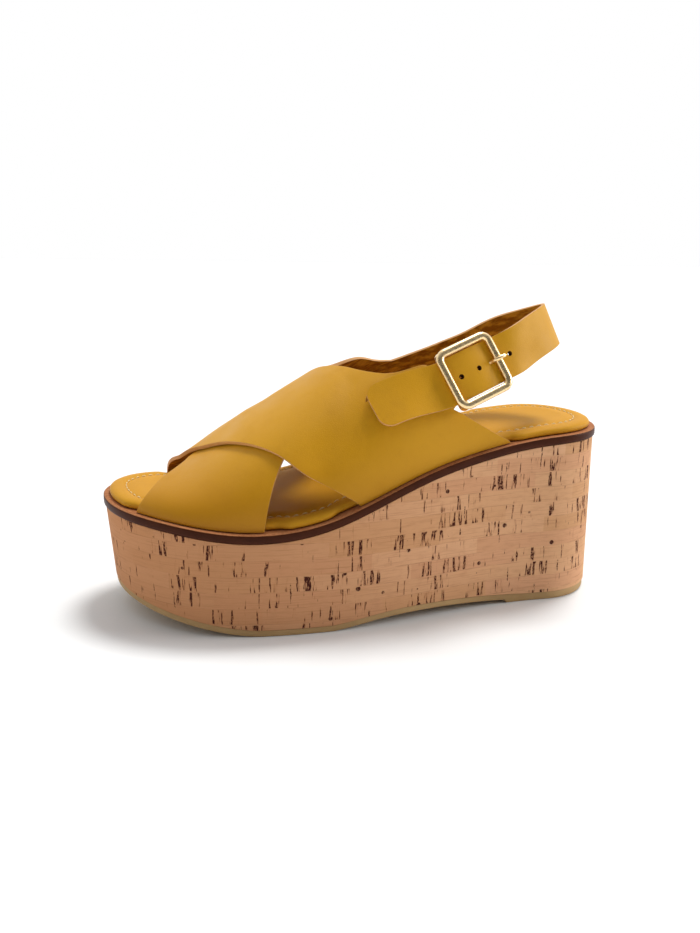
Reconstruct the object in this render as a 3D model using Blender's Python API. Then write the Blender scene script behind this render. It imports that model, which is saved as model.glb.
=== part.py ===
"""Platform sandal, left shoe: cork wedge, outsole, welt, insole, crossed straps with a sling, and buckle.

Metres. The toe points to -X, the heel to +X, the lateral side faces -Y and +Z is up. The shoe stands on
the flats of its forefoot and heel at Z = 0. A station is a share of the sole's length, 0 at the toe's tip
and 1 at the back of the heel. A round is an angle about the foot in degrees: 0 at the lateral edge of the
welt, 90 over the instep's ridge, 180 at the medial edge.
"""
import bmesh
import bpy
import numpy as np

LENGTH = 0.244              # sole, tip of the toe to back of the heel
BALL_WIDTH = 0.0954         # cork's top across the ball
HEEL_WIDTH = 0.0674         # cork's top across the heel
DECK_BALL = 0.0443          # height of the cork's top under the ball
DECK_HEEL = 0.0806          # height of the cork's top under the heel
TOE_RISE = 0.0062           # how much higher than the ball the cork's top is at the tip
TOE_SPRING = 0.0125         # gap under the outsole at the tip
ARCH_RISE = 0.0042          # gap under the outsole at the waist
OUTSOLE_THICK = 0.0030      # outsole, forefoot and waist
HEEL_PAD = 0.0009           # extra thickness of the outsole under the heel
TOE_TAPER = 0.0026          # how far the cork's wall leans in towards the floor at the toe
HEEL_FLARE = 0.0020         # how far it leans out at the heel
WELT_THICK = 0.0040         # brown board between cork and insole
WELT_PROUD = 0.0008         # how far the welt stands out past the cork
RIM_WIDTH = 0.0030          # top of the welt that shows outside the straps
INSOLE_THICK = 0.0036       # padded footbed
INSTEP_HEIGHT = 0.0600      # inside of the upper above the welt, at the instep
LEATHER = 0.0018            # wall of straps and quarters
SLING_WIDTH = 0.0212        # strap round the heel
SLING_HEIGHT = 0.0505       # middle of that strap above the welt, behind the heel
FREE_END = 0.0350           # strap past the buckle's left bar
FREE_CORNER = 0.0060        # rounding of the strap's tip
INNER_LEAF = 0.0360         # buckle tab, turned back along the inside of the quarter
BUCKLE_LENGTH = 0.0310      # buckle's frame, outside, along the strap
BUCKLE_BAR = 0.0038         # width of its bars, seen from outside
BUCKLE_DEPTH = 0.0028       # thickness of the buckle's frame
BUCKLE_CORNER = 0.0038      # rounding of the frame, at the middle of its bars
UNDER_BAR = 0.0030          # diameter of the bar that the tab is folded round
PRONG = 0.0018              # diameter of the prong
STRAP_PLAY = 0.0005         # room on each side of the strap inside the buckle
UNDER_BAR_SHIFT = 0.0034    # under-bar behind the frame's left bar
BULGE = 0.0019              # strap standing out inside the frame
CLEARANCE = 0.0003          # gap between pieces that touch
CROSSING_GAP = 0.0006       # between the crossed straps, outside their glued area

BALL_STATION_LATERAL = 0.41
BALL_STATION_MEDIAL = 0.22
SHANK_STATION = 0.86        # where the heel's round end begins
TOE_SHIFT = 0.142           # tip of the toe off the middle line, as a share of the ball's width
HEEL_SHIFT = 0.013          # heel off the middle line, as a share of the heel's width
TOE_POWER = 2.6             # squareness of the toe's round end
HEEL_POWER = 2.3            # squareness of the heel's round end
FLAT_TOE = 0.27             # stations between which the forefoot lies on the floor
FLAT_BALL = 0.41
HEEL_BREAST = 0.775         # front of the heel pad
LAST_POWER = 2.3            # squareness of the last's sections
RIDGE_SHIFT = 0.095         # instep's ridge off the middle line, as a share of the ball's width
# Station at X = 0, so that the welt's toe and the cork's flared heel reach equally far
MIDDLE = 0.5 + (HEEL_FLARE - WELT_PROUD) / (2 * LENGTH)


def table(names, *rows):
    """A small table as a dictionary of columns, from a line of names and one tuple for each section."""
    return {name: np.array(values, float) for name, values in zip(names.split(), zip(*rows))}


# Shares of TOE_RISE, and of the climb from DECK_BALL to DECK_HEEL
DECK = table("station toe climb",
             (0.00, 1.00, 0.000), (0.10, 0.66, 0.000), (0.20, 0.14, 0.000), (0.28, 0.00, 0.000),
             (0.40, 0.00, 0.125), (0.50, 0.00, 0.385), (0.60, 0.00, 0.645), (0.70, 0.00, 0.815),
             (0.80, 0.00, 0.930), (0.90, 0.00, 0.990), (1.00, 0.00, 1.000))
# Shares of ARCH_RISE under the waist
ARCH = table("station rise", (0.41, 0.00), (0.45, 0.34), (0.50, 0.75), (0.59, 1.00), (0.70, 0.74), (0.775, 0.40))
# Shares of INSTEP_HEIGHT along the ridge of the last
RIDGE = table("station height",
              (0.00, 0.06), (0.10, 0.205), (0.165, 0.315), (0.25, 0.56), (0.35, 0.78), (0.45, 0.91),
              (0.55, 0.99), (0.65, 1.035), (0.80, 1.06))
# The straps, one row for each section across them, from the foot of the quarter over the instep to the foot
# beside the toes. Rows 2 and 4 are the corners where the buckle tab or the sling goes on from the quarter.
# The upper strap starts at the lateral quarter. The lower strap starts at the medial one, and its rounds
# are counted from the medial edge of the welt.
UPPER_STRAP = table("front_station front_round rear_station rear_round",
                    (0.459, 0, 0.771, 0), (0.424, 6, 0.716, 7), (0.385, 15, 0.646, 19),
                    (0.355, 27, 0.618, 31), (0.328, 36, 0.604, 44), (0.310, 43, 0.588, 46.5),
                    (0.286, 52, 0.539, 50.5), (0.256, 64, 0.499, 61), (0.225, 77.5, 0.469, 74.5),
                    (0.189, 90, 0.438, 89.5), (0.156, 103, 0.403, 107.5), (0.137, 121, 0.360, 127),
                    (0.122, 148, 0.308, 152), (0.117, 180, 0.282, 180))
LOWER_STRAP = table("front_station front_round rear_station rear_round",
                    (0.459, 0, 0.771, 0), (0.424, 6, 0.718, 7), (0.385, 15, 0.660, 18),
                    (0.350, 27, 0.628, 29), (0.322, 36, 0.604, 38.5), (0.300, 43, 0.564, 45),
                    (0.279, 52, 0.524, 56), (0.250, 64, 0.477, 65), (0.212, 76, 0.451, 77),
                    (0.165, 90, 0.432, 92.5), (0.122, 106, 0.402, 110), (0.096, 122, 0.360, 127),
                    (0.070, 150, 0.308, 152), (0.055, 180, 0.282, 180))
TAB_FIRST, TAB_LAST = 2, 4
# Corners of the area where the two straps are glued together under the crossing, in order round it
SEAM = table("station round", (0.212, 90), (0.320, 54), (0.402, 91), (0.316, 126))
# Middle of the sling, one row for each section: its station, its distance to the medial side as a share of
# half the heel's width, its height as a share of SLING_HEIGHT, and its lean. From the medial side round the
# heel to the buckle's right bar, on which the last row lies.
SLING = table("station aside height lean",
              (0.770, 0.730, 0.675, 19), (0.824, 0.590, 0.822, 25), (0.872, 0.340, 0.915, 25),
              (0.900, 0.000, 0.981, 26), (0.872, -0.335, 0.955, 25), (0.824, -0.575, 0.872, 16),
              (0.770, -0.770, 0.760, 20))
# Middle of the strap inside the buckle and beyond: share of the frame's length from its left bar, and how
# far the strap stands out as a share of BULGE
IN_FRAME = table("share bulge", (1.0, 0.0), (0.72, 0.8), (0.47, 1.0), (0.22, 0.6), (0.0, 0.0))
# The buckle tab's inner leaf: share of INNER_LEAF from the fold, and how much each side is rounded off, as a
# share of FREE_CORNER
INNER = table("share rounding", (0.28, 0.0), (0.52, 0.0), (0.76, 0.0), (0.9, 0.08), (0.97, 0.4), (1.0, 0.95))
# The prong past its hook: share of the frame's length from its left bar, and height over the strap's middle
# in metres up to where it clears the frame
PRONG_RISE = table("share height",
                   (0.32, -0.0009), (0.60, -0.0005), (0.78, 0.0004), (0.85, 0.0024), (0.905, 0.0045))
# Profile of the insole's edge: inset, and height as a share of INSOLE_THICK
PADDED_EDGE = table("inset height", (0.0006, 0.0), (0.0, 0.35), (0.0004, 0.72), (0.0014, 0.94), (0.0034, 1.0))

# Between the middles of the buckle's opposite bars
SPAN_ALONG = BUCKLE_LENGTH - BUCKLE_BAR
SPAN_ACROSS = SLING_WIDTH + 2 * STRAP_PLAY + BUCKLE_BAR
ROWS_BETWEEN = 3            # mesh rows for each row of a strap's table
STRAP_COLUMNS = 12          # mesh columns across each strap, front to rear
SOLE_STATIONS = 34
SEAM_CELLS = 6
LIFT_FADE = 0.055           # share of LENGTH over which the upper strap comes down beside the lower one
OUTSOLE_CHAMFER = 0.0007
SEAT_GAP = CLEARANCE * 1.5  # between the free end and the quarter under it
TIP_LIFT = 0.0006           # further gap at the free end's tip
TAB_STATIONS = 0.018        # from the quarter's end to the buckle's left bar, as a share of LENGTH
TAB_NARROWER = 0.0006       # tab than the sling, on each side
FREE_END_TURN = 5.5         # degrees of round by which the free end climbs to its tip
OUTSOLE_INSET = 0.0004
TOE_SPRING_POWER = 1.4      # how late the sole's curve sets in under the toe
HEEL_STEP = 0.05            # stations over which the hidden floor of the heel comes down to the pad
PAD_EDGE = 0.004            # stations from HEEL_BREAST to the upright front of the heel pad
WALL_TOE = 0.24             # station where the cork's wall has lost most of its lean at the toe
WALL_TOE_LEFT = 0.12        # share of TOE_TAPER left behind it
WALL_HEEL = 0.72            # station where the flare of the heel sets in
DRAW_IN = 0.025             # stations over which the insole draws in beside the straps
INSOLE_PLAY = CLEARANCE * 3   # between the insole and the straps' inside
STRAP_FOOT_GAP = CLEARANCE * 1.6    # under the straps' feet, measured along the last's slant
SLING_AIM = 0.16            # X that the sling leans towards, as a share of LENGTH
SLING_AIM_ASIDE = 1.6       # and how much stronger it leans across the shoe than along it
ROOT_FADE = 0.030           # length over which the sling narrows from its root
TAB_RUN = 0.0032            # straight part of the tab ahead of its fold
INNER_EASE = 0.0012         # gap between quarter and inner leaf next to the fold
UNDER_BAR_BEND = 0.0016     # bending radius of the under-bar's ends
UNDER_BAR_LEG = 0.0014      # straight leg above that bend
PRONG_HOLE_AT = 0.83        # share of the frame's length
PRONG_HOLE_LONG = 0.0062    # hole longer than the prong is thick
PRONG_HOLE_WIDE = 0.0016
PRONG_TIP_DROP = 0.0004
SLOT_FORE, SLOT_AFT = 0.0052, 0.0060    # reach of the tab's slot on both sides of the under-bar
SLOT_DEEP = 0.0045          # and below it
SHARP_ANGLE = 35            # degrees from which an edge stays sharp


def spline(xs, ys, at):
    """Natural cubic spline through the points (xs, ys), straight past its ends."""
    count = len(xs)
    step = np.diff(xs)
    matrix = np.eye(count)
    right = np.zeros((count,) + np.shape(ys)[1:])
    slope = np.diff(ys, axis=0) / step.reshape((-1,) + (1,) * (np.ndim(ys) - 1))
    for i in range(1, count - 1):
        matrix[i, i - 1:i + 2] = step[i - 1], 2 * (step[i - 1] + step[i]), step[i]
        right[i] = 6 * (slope[i] - slope[i - 1])
    bend = np.linalg.solve(matrix, right)
    at = np.asarray(at, float)
    held = np.clip(at, xs[0], xs[-1])
    cell = np.clip(np.searchsorted(xs, held) - 1, 0, count - 2)
    shape = np.shape(at) + (1,) * (np.ndim(ys) - 1)
    width = step[cell].reshape(shape)
    left = (xs[cell + 1] - held).reshape(shape)
    gone = (held - xs[cell]).reshape(shape)
    inside = ((bend[cell] * left ** 3 + bend[cell + 1] * gone ** 3) / (6 * width)
              + (ys[cell] / width - bend[cell] * width / 6) * left
              + (ys[cell + 1] / width - bend[cell + 1] * width / 6) * gone)
    first = slope[0] - step[0] * bend[1] / 6
    last_slope = slope[-1] + step[-1] * bend[-2] / 6
    before = (np.minimum(at - xs[0], 0)).reshape(shape)
    after = (np.maximum(at - xs[-1], 0)).reshape(shape)
    return inside + first * before + last_slope * after


def smooth(share):
    """0 to 1 with level ends."""
    share = np.clip(share, 0, 1)
    return share * share * (3 - 2 * share)


def unit(vectors):
    return vectors / np.linalg.norm(vectors, axis=-1, keepdims=True)


# Sole


def deck(x):
    """Height of the cork's top at x."""
    station = x / LENGTH + MIDDLE
    toe = spline(DECK["station"], DECK["toe"], station)
    climb = spline(DECK["station"], DECK["climb"], station)
    return DECK_BALL + TOE_RISE * toe + (DECK_HEEL - DECK_BALL) * climb


def welt_top(x):
    return deck(x) + CLEARANCE + WELT_THICK


def sole_line(x):
    """Height of the outsole's underside at x, without the heel pad."""
    station = x / LENGTH + MIDDLE
    toe = TOE_SPRING * np.clip((FLAT_TOE - station) / FLAT_TOE, 0, 1) ** TOE_SPRING_POWER
    arch = ARCH_RISE * spline(ARCH["station"], ARCH["rise"], np.clip(station, FLAT_BALL, HEEL_BREAST))
    arch = np.where(station < FLAT_BALL, 0, arch)
    heel = smooth((station - HEEL_BREAST) / HEEL_STEP)
    return toe + arch * (1 - heel) + HEEL_PAD * heel


def tread_line(x):
    """Height of the outsole's underside at x, level under the forefoot and the heel pad."""
    station = x / LENGTH + MIDDLE
    return np.where(station < HEEL_BREAST + PAD_EDGE, sole_line(x), 0.0)


def half_width(station, side):
    """Outline of the cork's top, as y: two rounded ends joined by an S-curve. side is -1 or 1."""
    ball = BALL_STATION_LATERAL if side < 0 else BALL_STATION_MEDIAL
    ball_y = side * BALL_WIDTH / 2
    heel_y = side * HEEL_WIDTH / 2 - HEEL_SHIFT * HEEL_WIDTH
    tip_y = TOE_SHIFT * BALL_WIDTH
    back_y = -HEEL_SHIFT * HEEL_WIDTH
    ahead = np.clip((ball - station) / ball, 0, 1)
    toe = tip_y + (ball_y - tip_y) * np.sqrt(1 - ahead ** TOE_POWER)
    waist = ball_y + (heel_y - ball_y) * smooth((station - ball) / (SHANK_STATION - ball))
    behind = np.clip((station - SHANK_STATION) / (1 - SHANK_STATION), 0, 1)
    heel = back_y + (heel_y - back_y) * np.sqrt(1 - behind ** HEEL_POWER)
    return np.where(station < ball, toe, np.where(station < SHANK_STATION, waist, heel))


def outline(station, side, inset):
    """x and y of the cork's outline moved in along its normal by inset."""
    nudge = 1e-4
    low = np.clip(station - nudge, 0, 1)
    high = np.clip(station + nudge, 0, 1)
    run = (high - low) * LENGTH
    rise = half_width(high, side) - half_width(low, side)
    size = np.hypot(run, rise)
    x = (station - MIDDLE) * LENGTH + inset * side * rise / size
    y = half_width(station, side) - inset * side * run / size
    return x, y


def sole_stations():
    """Stations crowded at both round ends, with the flats' own edges among them."""
    even = (1 - np.cos(np.linspace(0, np.pi, SOLE_STATIONS))) / 2
    flats = [FLAT_TOE, FLAT_BALL, HEEL_BREAST, HEEL_BREAST + 2 * PAD_EDGE]
    return np.unique(np.concatenate([even, flats]))


def ring(inset, height):
    """One loop round the sole. inset(station, side) moves it in and height(x) lifts it."""
    station = sole_stations()
    halves = []
    for side in (-1, 1):
        x, y = outline(station, side, inset(station, side))
        halves.append(np.stack([x, y, height(x)], axis=1))
    lateral, medial = halves
    for end in (0, -1):
        lateral[end] = (lateral[end] + medial[end]) / 2
    return np.concatenate([lateral, medial[-2:0:-1]])


def stack(rings):
    """Closed solid from loops stacked upwards, capped by strips across the sole."""
    count = len(rings[0])
    points = np.concatenate(rings)
    faces = []
    for level in range(len(rings) - 1):
        for i in range(count):
            j = (i + 1) % count
            low, high = level * count, (level + 1) * count
            faces.append((low + i, low + j, high + j, high + i))
    half = count // 2
    for base in (0, (len(rings) - 1) * count):
        faces.append((base, base + 1, base + count - 1))
        for i in range(1, half - 1):
            faces.append((base + i, base + i + 1, base + count - i - 1, base + count - i))
        faces.append((base + half - 1, base + half, base + half + 1))
    return points, faces


def wall_inset(station):
    """How far the foot of the cork's wall stands in from its top."""
    toe = 1 - (1 - WALL_TOE_LEFT) * smooth(station / WALL_TOE)
    heel = smooth((station - WALL_HEEL) / (1 - WALL_HEEL))
    return TOE_TAPER * toe * (1 - heel) - HEEL_FLARE * heel


def outsole_shape():
    foot = lambda extra: lambda station, side: wall_inset(station) + OUTSOLE_INSET + extra
    top = lambda x: sole_line(x) + OUTSOLE_THICK
    low = lambda x: tread_line(x) + OUTSOLE_CHAMFER
    return stack([ring(foot(OUTSOLE_CHAMFER), tread_line), ring(foot(0), low), ring(foot(0), top)])


def wedge_shape():
    foot = lambda station, side: wall_inset(station)
    bottom = lambda x: sole_line(x) + OUTSOLE_THICK + CLEARANCE
    return stack([ring(foot, bottom), ring(lambda station, side: 0 * station, deck)])


def welt_shape():
    rings = []
    for outset, share in ((0.0, 0.0), (1.0, 0.12), (1.0, 0.86), (0.4, 1.0)):
        inset = lambda station, side, outset=outset: 0 * station - WELT_PROUD * outset
        height = lambda x, share=share: deck(x) + CLEARANCE + WELT_THICK * share
        rings.append(ring(inset, height))
    return stack(rings)


def insole_inset(station, side):
    """The insole reaches the rim between the straps, and draws in to let them down to the welt."""
    under_straps = np.zeros_like(station)
    near, far = (UPPER_STRAP, LOWER_STRAP) if side < 0 else (LOWER_STRAP, UPPER_STRAP)
    for front, rear in ((near["front_station"][1], near["rear_station"][0]),
                        (far["front_station"][-1], far["rear_station"][-2])):
        inside = np.minimum(station - front, rear - station) + DRAW_IN
        under_straps = np.maximum(under_straps, smooth(inside / DRAW_IN))
    open_inset = RIM_WIDTH - WELT_PROUD
    return open_inset + (LEATHER + INSOLE_PLAY) * under_straps


def insole_shape():
    rings = []
    for extra, share in zip(PADDED_EDGE["inset"], PADDED_EDGE["height"]):
        inset = lambda station, side, extra=extra: insole_inset(station, side) + extra
        height = lambda x, share=share: welt_top(x) + CLEARANCE + INSOLE_THICK * share
        rings.append(ring(inset, height))
    return stack(rings)


# Upper


def last(station, round_):
    """The last that the straps are drawn over: superellipse sections from the welt to the ridge."""
    angle = np.radians(np.where(round_ <= 90, round_, 180 - round_))
    foot_inset = RIM_WIDTH - WELT_PROUD + LEATHER
    lateral = outline(station, -1, foot_inset)
    medial = outline(station, 1, foot_inset)
    foot_x = np.where(round_ <= 90, lateral[0], medial[0])
    foot_y = np.where(round_ <= 90, lateral[1], medial[1])
    foot_z = welt_top(foot_x) + STRAP_FOOT_GAP
    ridge_x = (station - MIDDLE) * LENGTH
    ridge_y = RIDGE_SHIFT * BALL_WIDTH
    ridge_z = welt_top(ridge_x) + INSTEP_HEIGHT * spline(RIDGE["station"], RIDGE["height"], station)
    aside = np.clip(np.cos(angle), 0, 1) ** (2 / LAST_POWER)
    aloft = np.clip(np.sin(angle), 0, 1) ** (2 / LAST_POWER)
    return np.stack([ridge_x + (foot_x - ridge_x) * aside,
                     ridge_y + (foot_y - ridge_y) * aside,
                     foot_z + (ridge_z - foot_z) * aloft], axis=-1)


def last_normal(station, round_):
    """Outward normal of the last."""
    station, round_ = np.broadcast_arrays(np.asarray(station, float), np.asarray(round_, float))
    along = last(station + 0.002, round_) - last(station - 0.002, round_)
    about = last(station, np.clip(round_ + 1, 0, 180)) - last(station, np.clip(round_ - 1, 0, 180))
    return unit(np.cross(along, about))


def on_last(station, round_, offset):
    return last(station, round_) + last_normal(station, round_) * np.expand_dims(offset, -1)


def strap_edge(strap, edge, rows):
    """Station and round along one edge of a strap; the rear edge has corners at the tab."""
    points = np.stack([strap[edge + "_station"], strap[edge + "_round"]], axis=1)
    index = np.arange(len(points), dtype=float)
    if edge == "front":
        return spline(index, points, rows)
    result = np.zeros((len(rows), 2))
    for first, final in ((0, TAB_FIRST), (TAB_FIRST, TAB_LAST), (TAB_LAST, len(points) - 1)):
        part = (rows >= first) & (rows <= final)
        result[part] = spline(index[first:final + 1], points[first:final + 1], rows[part])
    return result


def strap_grid(strap):
    """Station and round over the whole strap: rows across the foot, columns from front to rear edge."""
    count = len(strap["front_station"])
    rows = np.linspace(0, count - 1, (count - 1) * ROWS_BETWEEN + 1)
    share = np.linspace(0, 1, STRAP_COLUMNS + 1)[None, :, None]
    front = strap_edge(strap, "front", rows)[:, None]
    rear = strap_edge(strap, "rear", rows)[:, None]
    grid = front * (1 - share) + rear * share
    return grid[..., 0], grid[..., 1]


def crossing_lift(station, round_):
    """How far the upper strap rides over the lower one: its leather and a gap, fading past its edges."""
    rows = np.linspace(0, len(LOWER_STRAP["front_station"]) - 1, 200)
    front = strap_edge(LOWER_STRAP, "front", rows)
    rear = strap_edge(LOWER_STRAP, "rear", rows)
    ahead = np.interp(180 - round_, front[:, 1], front[:, 0]) - station
    behind = station - np.interp(180 - round_, rear[:, 1], rear[:, 0])
    outside = np.maximum(np.maximum(ahead, behind), 0)
    return (LEATHER + CROSSING_GAP) * (1 - smooth(outside / LIFT_FADE))


def tab_rows():
    return slice(TAB_FIRST * ROWS_BETWEEN, TAB_LAST * ROWS_BETWEEN + 1)


def quarter_end(strap):
    """Station and round in the middle of the quarter's end, where the tab or the sling goes on."""
    return strap_edge(strap, "rear", np.array([(TAB_FIRST + TAB_LAST) / 2]))[0]


def buckle_axes():
    """Where the strap passes under the buckle's left bar: its middle, then along, across and out."""
    station, round_ = quarter_end(UPPER_STRAP)
    seat = on_last(station + TAB_STATIONS, round_, LEATHER * 1.5 + SEAT_GAP)
    behind = sling_point(-1)[0]
    out = last_normal(station + TAB_STATIONS, round_)
    along = unit(behind - seat)
    out = unit(out - along * (out @ along))
    across = np.cross(out, along)
    return seat, along, across, out


def sling_point(row):
    """Middle of the sling at one row of SLING, and the direction across it there."""
    x = (SLING["station"][row] - MIDDLE) * LENGTH
    back_y = -HEEL_SHIFT * HEEL_WIDTH
    y = back_y + SLING["aside"][row] * HEEL_WIDTH / 2
    z = welt_top((1 - MIDDLE) * LENGTH) + SLING_HEIGHT * SLING["height"][row]
    lean = np.radians(SLING["lean"][row])
    level = unit(np.array([SLING_AIM * LENGTH - x, (back_y - y) * SLING_AIM_ASIDE, 0.0]))
    across = level * np.sin(lean) + np.array([0, 0, 1.0]) * np.cos(lean)
    return np.array([x, y, z]), across


def sling_path():
    """Middle of the sling from its root on the medial quarter to its free end, and the way across it."""
    seat, along, across, out = buckle_axes()
    station, round_ = quarter_end(LOWER_STRAP)
    low, high = root_corners()
    points = [on_last(station, 180 - round_, LEATHER / 2)]
    ways = [unit(high - low)]
    for row in range(len(SLING["station"])):
        point, way = sling_point(row)
        points.append(point)
        ways.append(way)
    for share, bulge in zip(IN_FRAME["share"], IN_FRAME["bulge"]):
        points.append(seat + along * SPAN_ALONG * share + out * BULGE * bulge)
        ways.append(across)
    root, start = quarter_end(UPPER_STRAP)
    for share in (0.5, 1.0):
        station = root + TAB_STATIONS - share * FREE_END / LENGTH
        round_ = start + FREE_END_TURN * share
        points.append(on_last(station, round_, LEATHER * 1.5 + SEAT_GAP + TIP_LIFT * share))
        ways.append(unit(on_last(station, round_ + 5, 0.0) - on_last(station, round_ - 5, 0.0)))
    return np.array(points), np.array(ways)


def sling_strip():
    """Grid of the sling: rows across it as on the strap's root, columns along it, root left out."""
    points, ways = sling_path()
    gone = np.concatenate([[0], np.cumsum(np.linalg.norm(np.diff(points, axis=0), axis=1))])
    fine = np.linspace(0, gone[-1], 50)[1:-2]
    corner = gone[-1] - FREE_CORNER * np.array([1.0, 0.62, 0.3, 0.1, 0.0])
    at = np.unique(np.concatenate([fine[fine < corner[0] - 0.001], corner]))
    middle = spline(gone, points, at)
    tangent = unit(spline(gone, points, at + 1e-4) - spline(gone, points, at - 1e-4))
    way = spline(gone, ways, at)
    square = smooth(at / ROOT_FADE)[:, None]    # slanted at the root, square to the path past it
    way = unit(way - square * tangent * np.sum(way * tangent, axis=1, keepdims=True))
    root_half = np.linalg.norm(np.diff(root_corners(), axis=0)) / 2
    half = SLING_WIDTH / 2 + (root_half - SLING_WIDTH / 2) * (1 - smooth(at / ROOT_FADE))
    left = np.clip((at - corner[0]) / FREE_CORNER, 0, 1)
    half = half - FREE_CORNER * (1 - np.sqrt(1 - left ** 2))
    rows = tab_rows()
    share = np.linspace(-1, 1, rows.stop - rows.start)
    edge = strap_edge(LOWER_STRAP, "rear", (TAB_FIRST + TAB_LAST + share * (TAB_LAST - TAB_FIRST)) / 2)
    root = on_last(edge[:, 0], 180 - edge[:, 1], np.full(len(share), LEATHER / 2))
    bow = root - points[0] - ways[0] * root_half * share[:, None]     # quarter's curve across the root
    straight = middle[None] + way[None] * half[None, :, None] * share[:, None, None]
    return straight + bow[:, None] * (1 - smooth(at / ROOT_FADE))[None, :, None]


def root_corners():
    """Lower and upper corner of the sling's root on the medial quarter."""
    ends = strap_edge(LOWER_STRAP, "rear", np.array([TAB_FIRST, TAB_LAST], float))
    return on_last(ends[:, 0], 180 - ends[:, 1], np.full(2, LEATHER / 2))


def tab_strip():
    """Grid of the buckle tab: it narrows, goes round the under-bar and back along the quarter's inside."""
    seat, along, across, out = buckle_axes()
    root, start = quarter_end(UPPER_STRAP)
    depth = LEATHER + SEAT_GAP                              # tab's outer leaf under the strap's middle
    turn = LEATHER / 2 + CLEARANCE + UNDER_BAR / 2          # radius of the fold's middle
    axis = seat + along * UNDER_BAR_SHIFT - out * (depth + turn)
    points = [axis + out * turn - along * TAB_RUN]
    for angle in np.linspace(90, -90, 9):
        points.append(axis + turn * (along * np.cos(np.radians(angle)) + out * np.sin(np.radians(angle))))
    nestle = -(LEATHER / 2 + CLEARANCE)                     # inner leaf against the quarter's inside
    for share in INNER["share"]:
        station = root + TAB_STATIONS - share * INNER_LEAF / LENGTH
        away = INNER_EASE * (1 - share)
        points.append(on_last(station, start + FREE_END_TURN * share, nestle - away))
    points = np.array(points)
    root_half = np.linalg.norm(np.diff(root_corners(), axis=0)) / 2
    half = np.full(len(points), SLING_WIDTH / 2 - TAB_NARROWER)
    half[0] = half[0] * 0.6 + root_half * 0.4
    half[-len(INNER["share"]):] -= FREE_CORNER * INNER["rounding"]
    ways = np.repeat(across[None], len(points), axis=0)
    rows = tab_rows()
    share = np.linspace(-1, 1, rows.stop - rows.start)
    return points[None] + ways[None] * half[None, :, None] * share[:, None, None]


def sheet(band, strip):
    """Points and faces of a strap with a strip that goes on from the tab rows of its rear edge."""
    count, columns = band.shape[:2]
    rows = tab_rows()
    points = np.concatenate([band.reshape(-1, 3), strip.reshape(-1, 3)])
    faces = []
    for i in range(count - 1):
        for j in range(columns - 1):
            a = i * columns + j
            faces.append((a, a + columns, a + columns + 1, a + 1))
    start = count * columns
    length = strip.shape[1]

    def index(i, j):
        return (rows.start + i) * columns + columns - 1 if j < 0 else start + i * length + j

    for i in range(strip.shape[0] - 1):
        for j in range(-1, length - 1):
            faces.append((index(i, j), index(i + 1, j), index(i + 1, j + 1), index(i, j + 1)))
    return points, faces


def lower_strap_shape():
    """The strap drawn over the last first: lateral toe to medial quarter, then the sling."""
    station, round_ = strap_grid(LOWER_STRAP)
    return sheet(on_last(station, 180 - round_, np.full(station.shape, LEATHER / 2)), sling_strip())


def upper_strap_shape():
    """The strap laid across it: medial toe to lateral quarter, then the buckle tab."""
    station, round_ = strap_grid(UPPER_STRAP)
    offset = LEATHER / 2 + crossing_lift(station, round_)
    return sheet(on_last(station, round_, offset), tab_strip())


def seam_shape():
    """Glued area of the crossing, halfway between the middles of the two straps."""
    share = np.linspace(0, 1, SEAM_CELLS + 1)
    a, b = (side[..., None] for side in np.meshgrid(share, share, indexing="ij"))
    first, second, third, fourth = np.stack([SEAM["station"], SEAM["round"]], axis=1)
    grid = first * (1 - a) * (1 - b) + second * a * (1 - b) + third * a * b + fourth * (1 - a) * b
    offset = np.full(grid.shape[:2], LEATHER + CROSSING_GAP / 2)
    points = on_last(grid[..., 0], grid[..., 1], offset)
    size = SEAM_CELLS + 1
    corner = (np.arange(SEAM_CELLS)[:, None] * size + np.arange(SEAM_CELLS)).ravel()
    faces = [(i, i + size, i + size + 1, i + 1) for i in corner.tolist()]
    return points.reshape(-1, 3), faces


# Buckle


def sweep(path, plane_normal, profile, closed):
    """A profile (aside, along the plane's normal) carried along a path that lies in one plane."""
    if closed:
        tangent = unit(np.roll(path, -1, axis=0) - np.roll(path, 1, axis=0))
    else:
        tangent = unit(np.gradient(path, axis=0))
    aside = np.cross(tangent, plane_normal)
    rings = (path[:, None] + aside[:, None] * profile[None, :, :1]
             + plane_normal[None, None] * profile[None, :, 1:])
    count, sides = len(path), len(profile)
    faces = []
    for i in range(count if closed else count - 1):
        for j in range(sides):
            a, b = i * sides + j, i * sides + (j + 1) % sides
            c, d = ((i + 1) % count) * sides + (j + 1) % sides, ((i + 1) % count) * sides + j
            faces.append((a, b, c, d))
    if not closed:
        faces.append(tuple(range(sides)))
        faces.append(tuple(range((count - 1) * sides, count * sides)))
    return rings.reshape(-1, 3), faces


def oval(width, depth, sides, power=2.0):
    """Superellipse profile, width by depth."""
    angle = np.radians(np.arange(sides) * 360 / sides + 180 / sides)
    cos, sin = np.cos(angle), np.sin(angle)
    return np.stack([np.sign(cos) * np.abs(cos) ** (2 / power) * width / 2,
                     np.sign(sin) * np.abs(sin) ** (2 / power) * depth / 2], axis=1)


def frame_height():
    """Middle of the frame above the middle of the strap under its left bar."""
    return LEATHER / 2 + CLEARANCE + BUCKLE_DEPTH / 2


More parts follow.
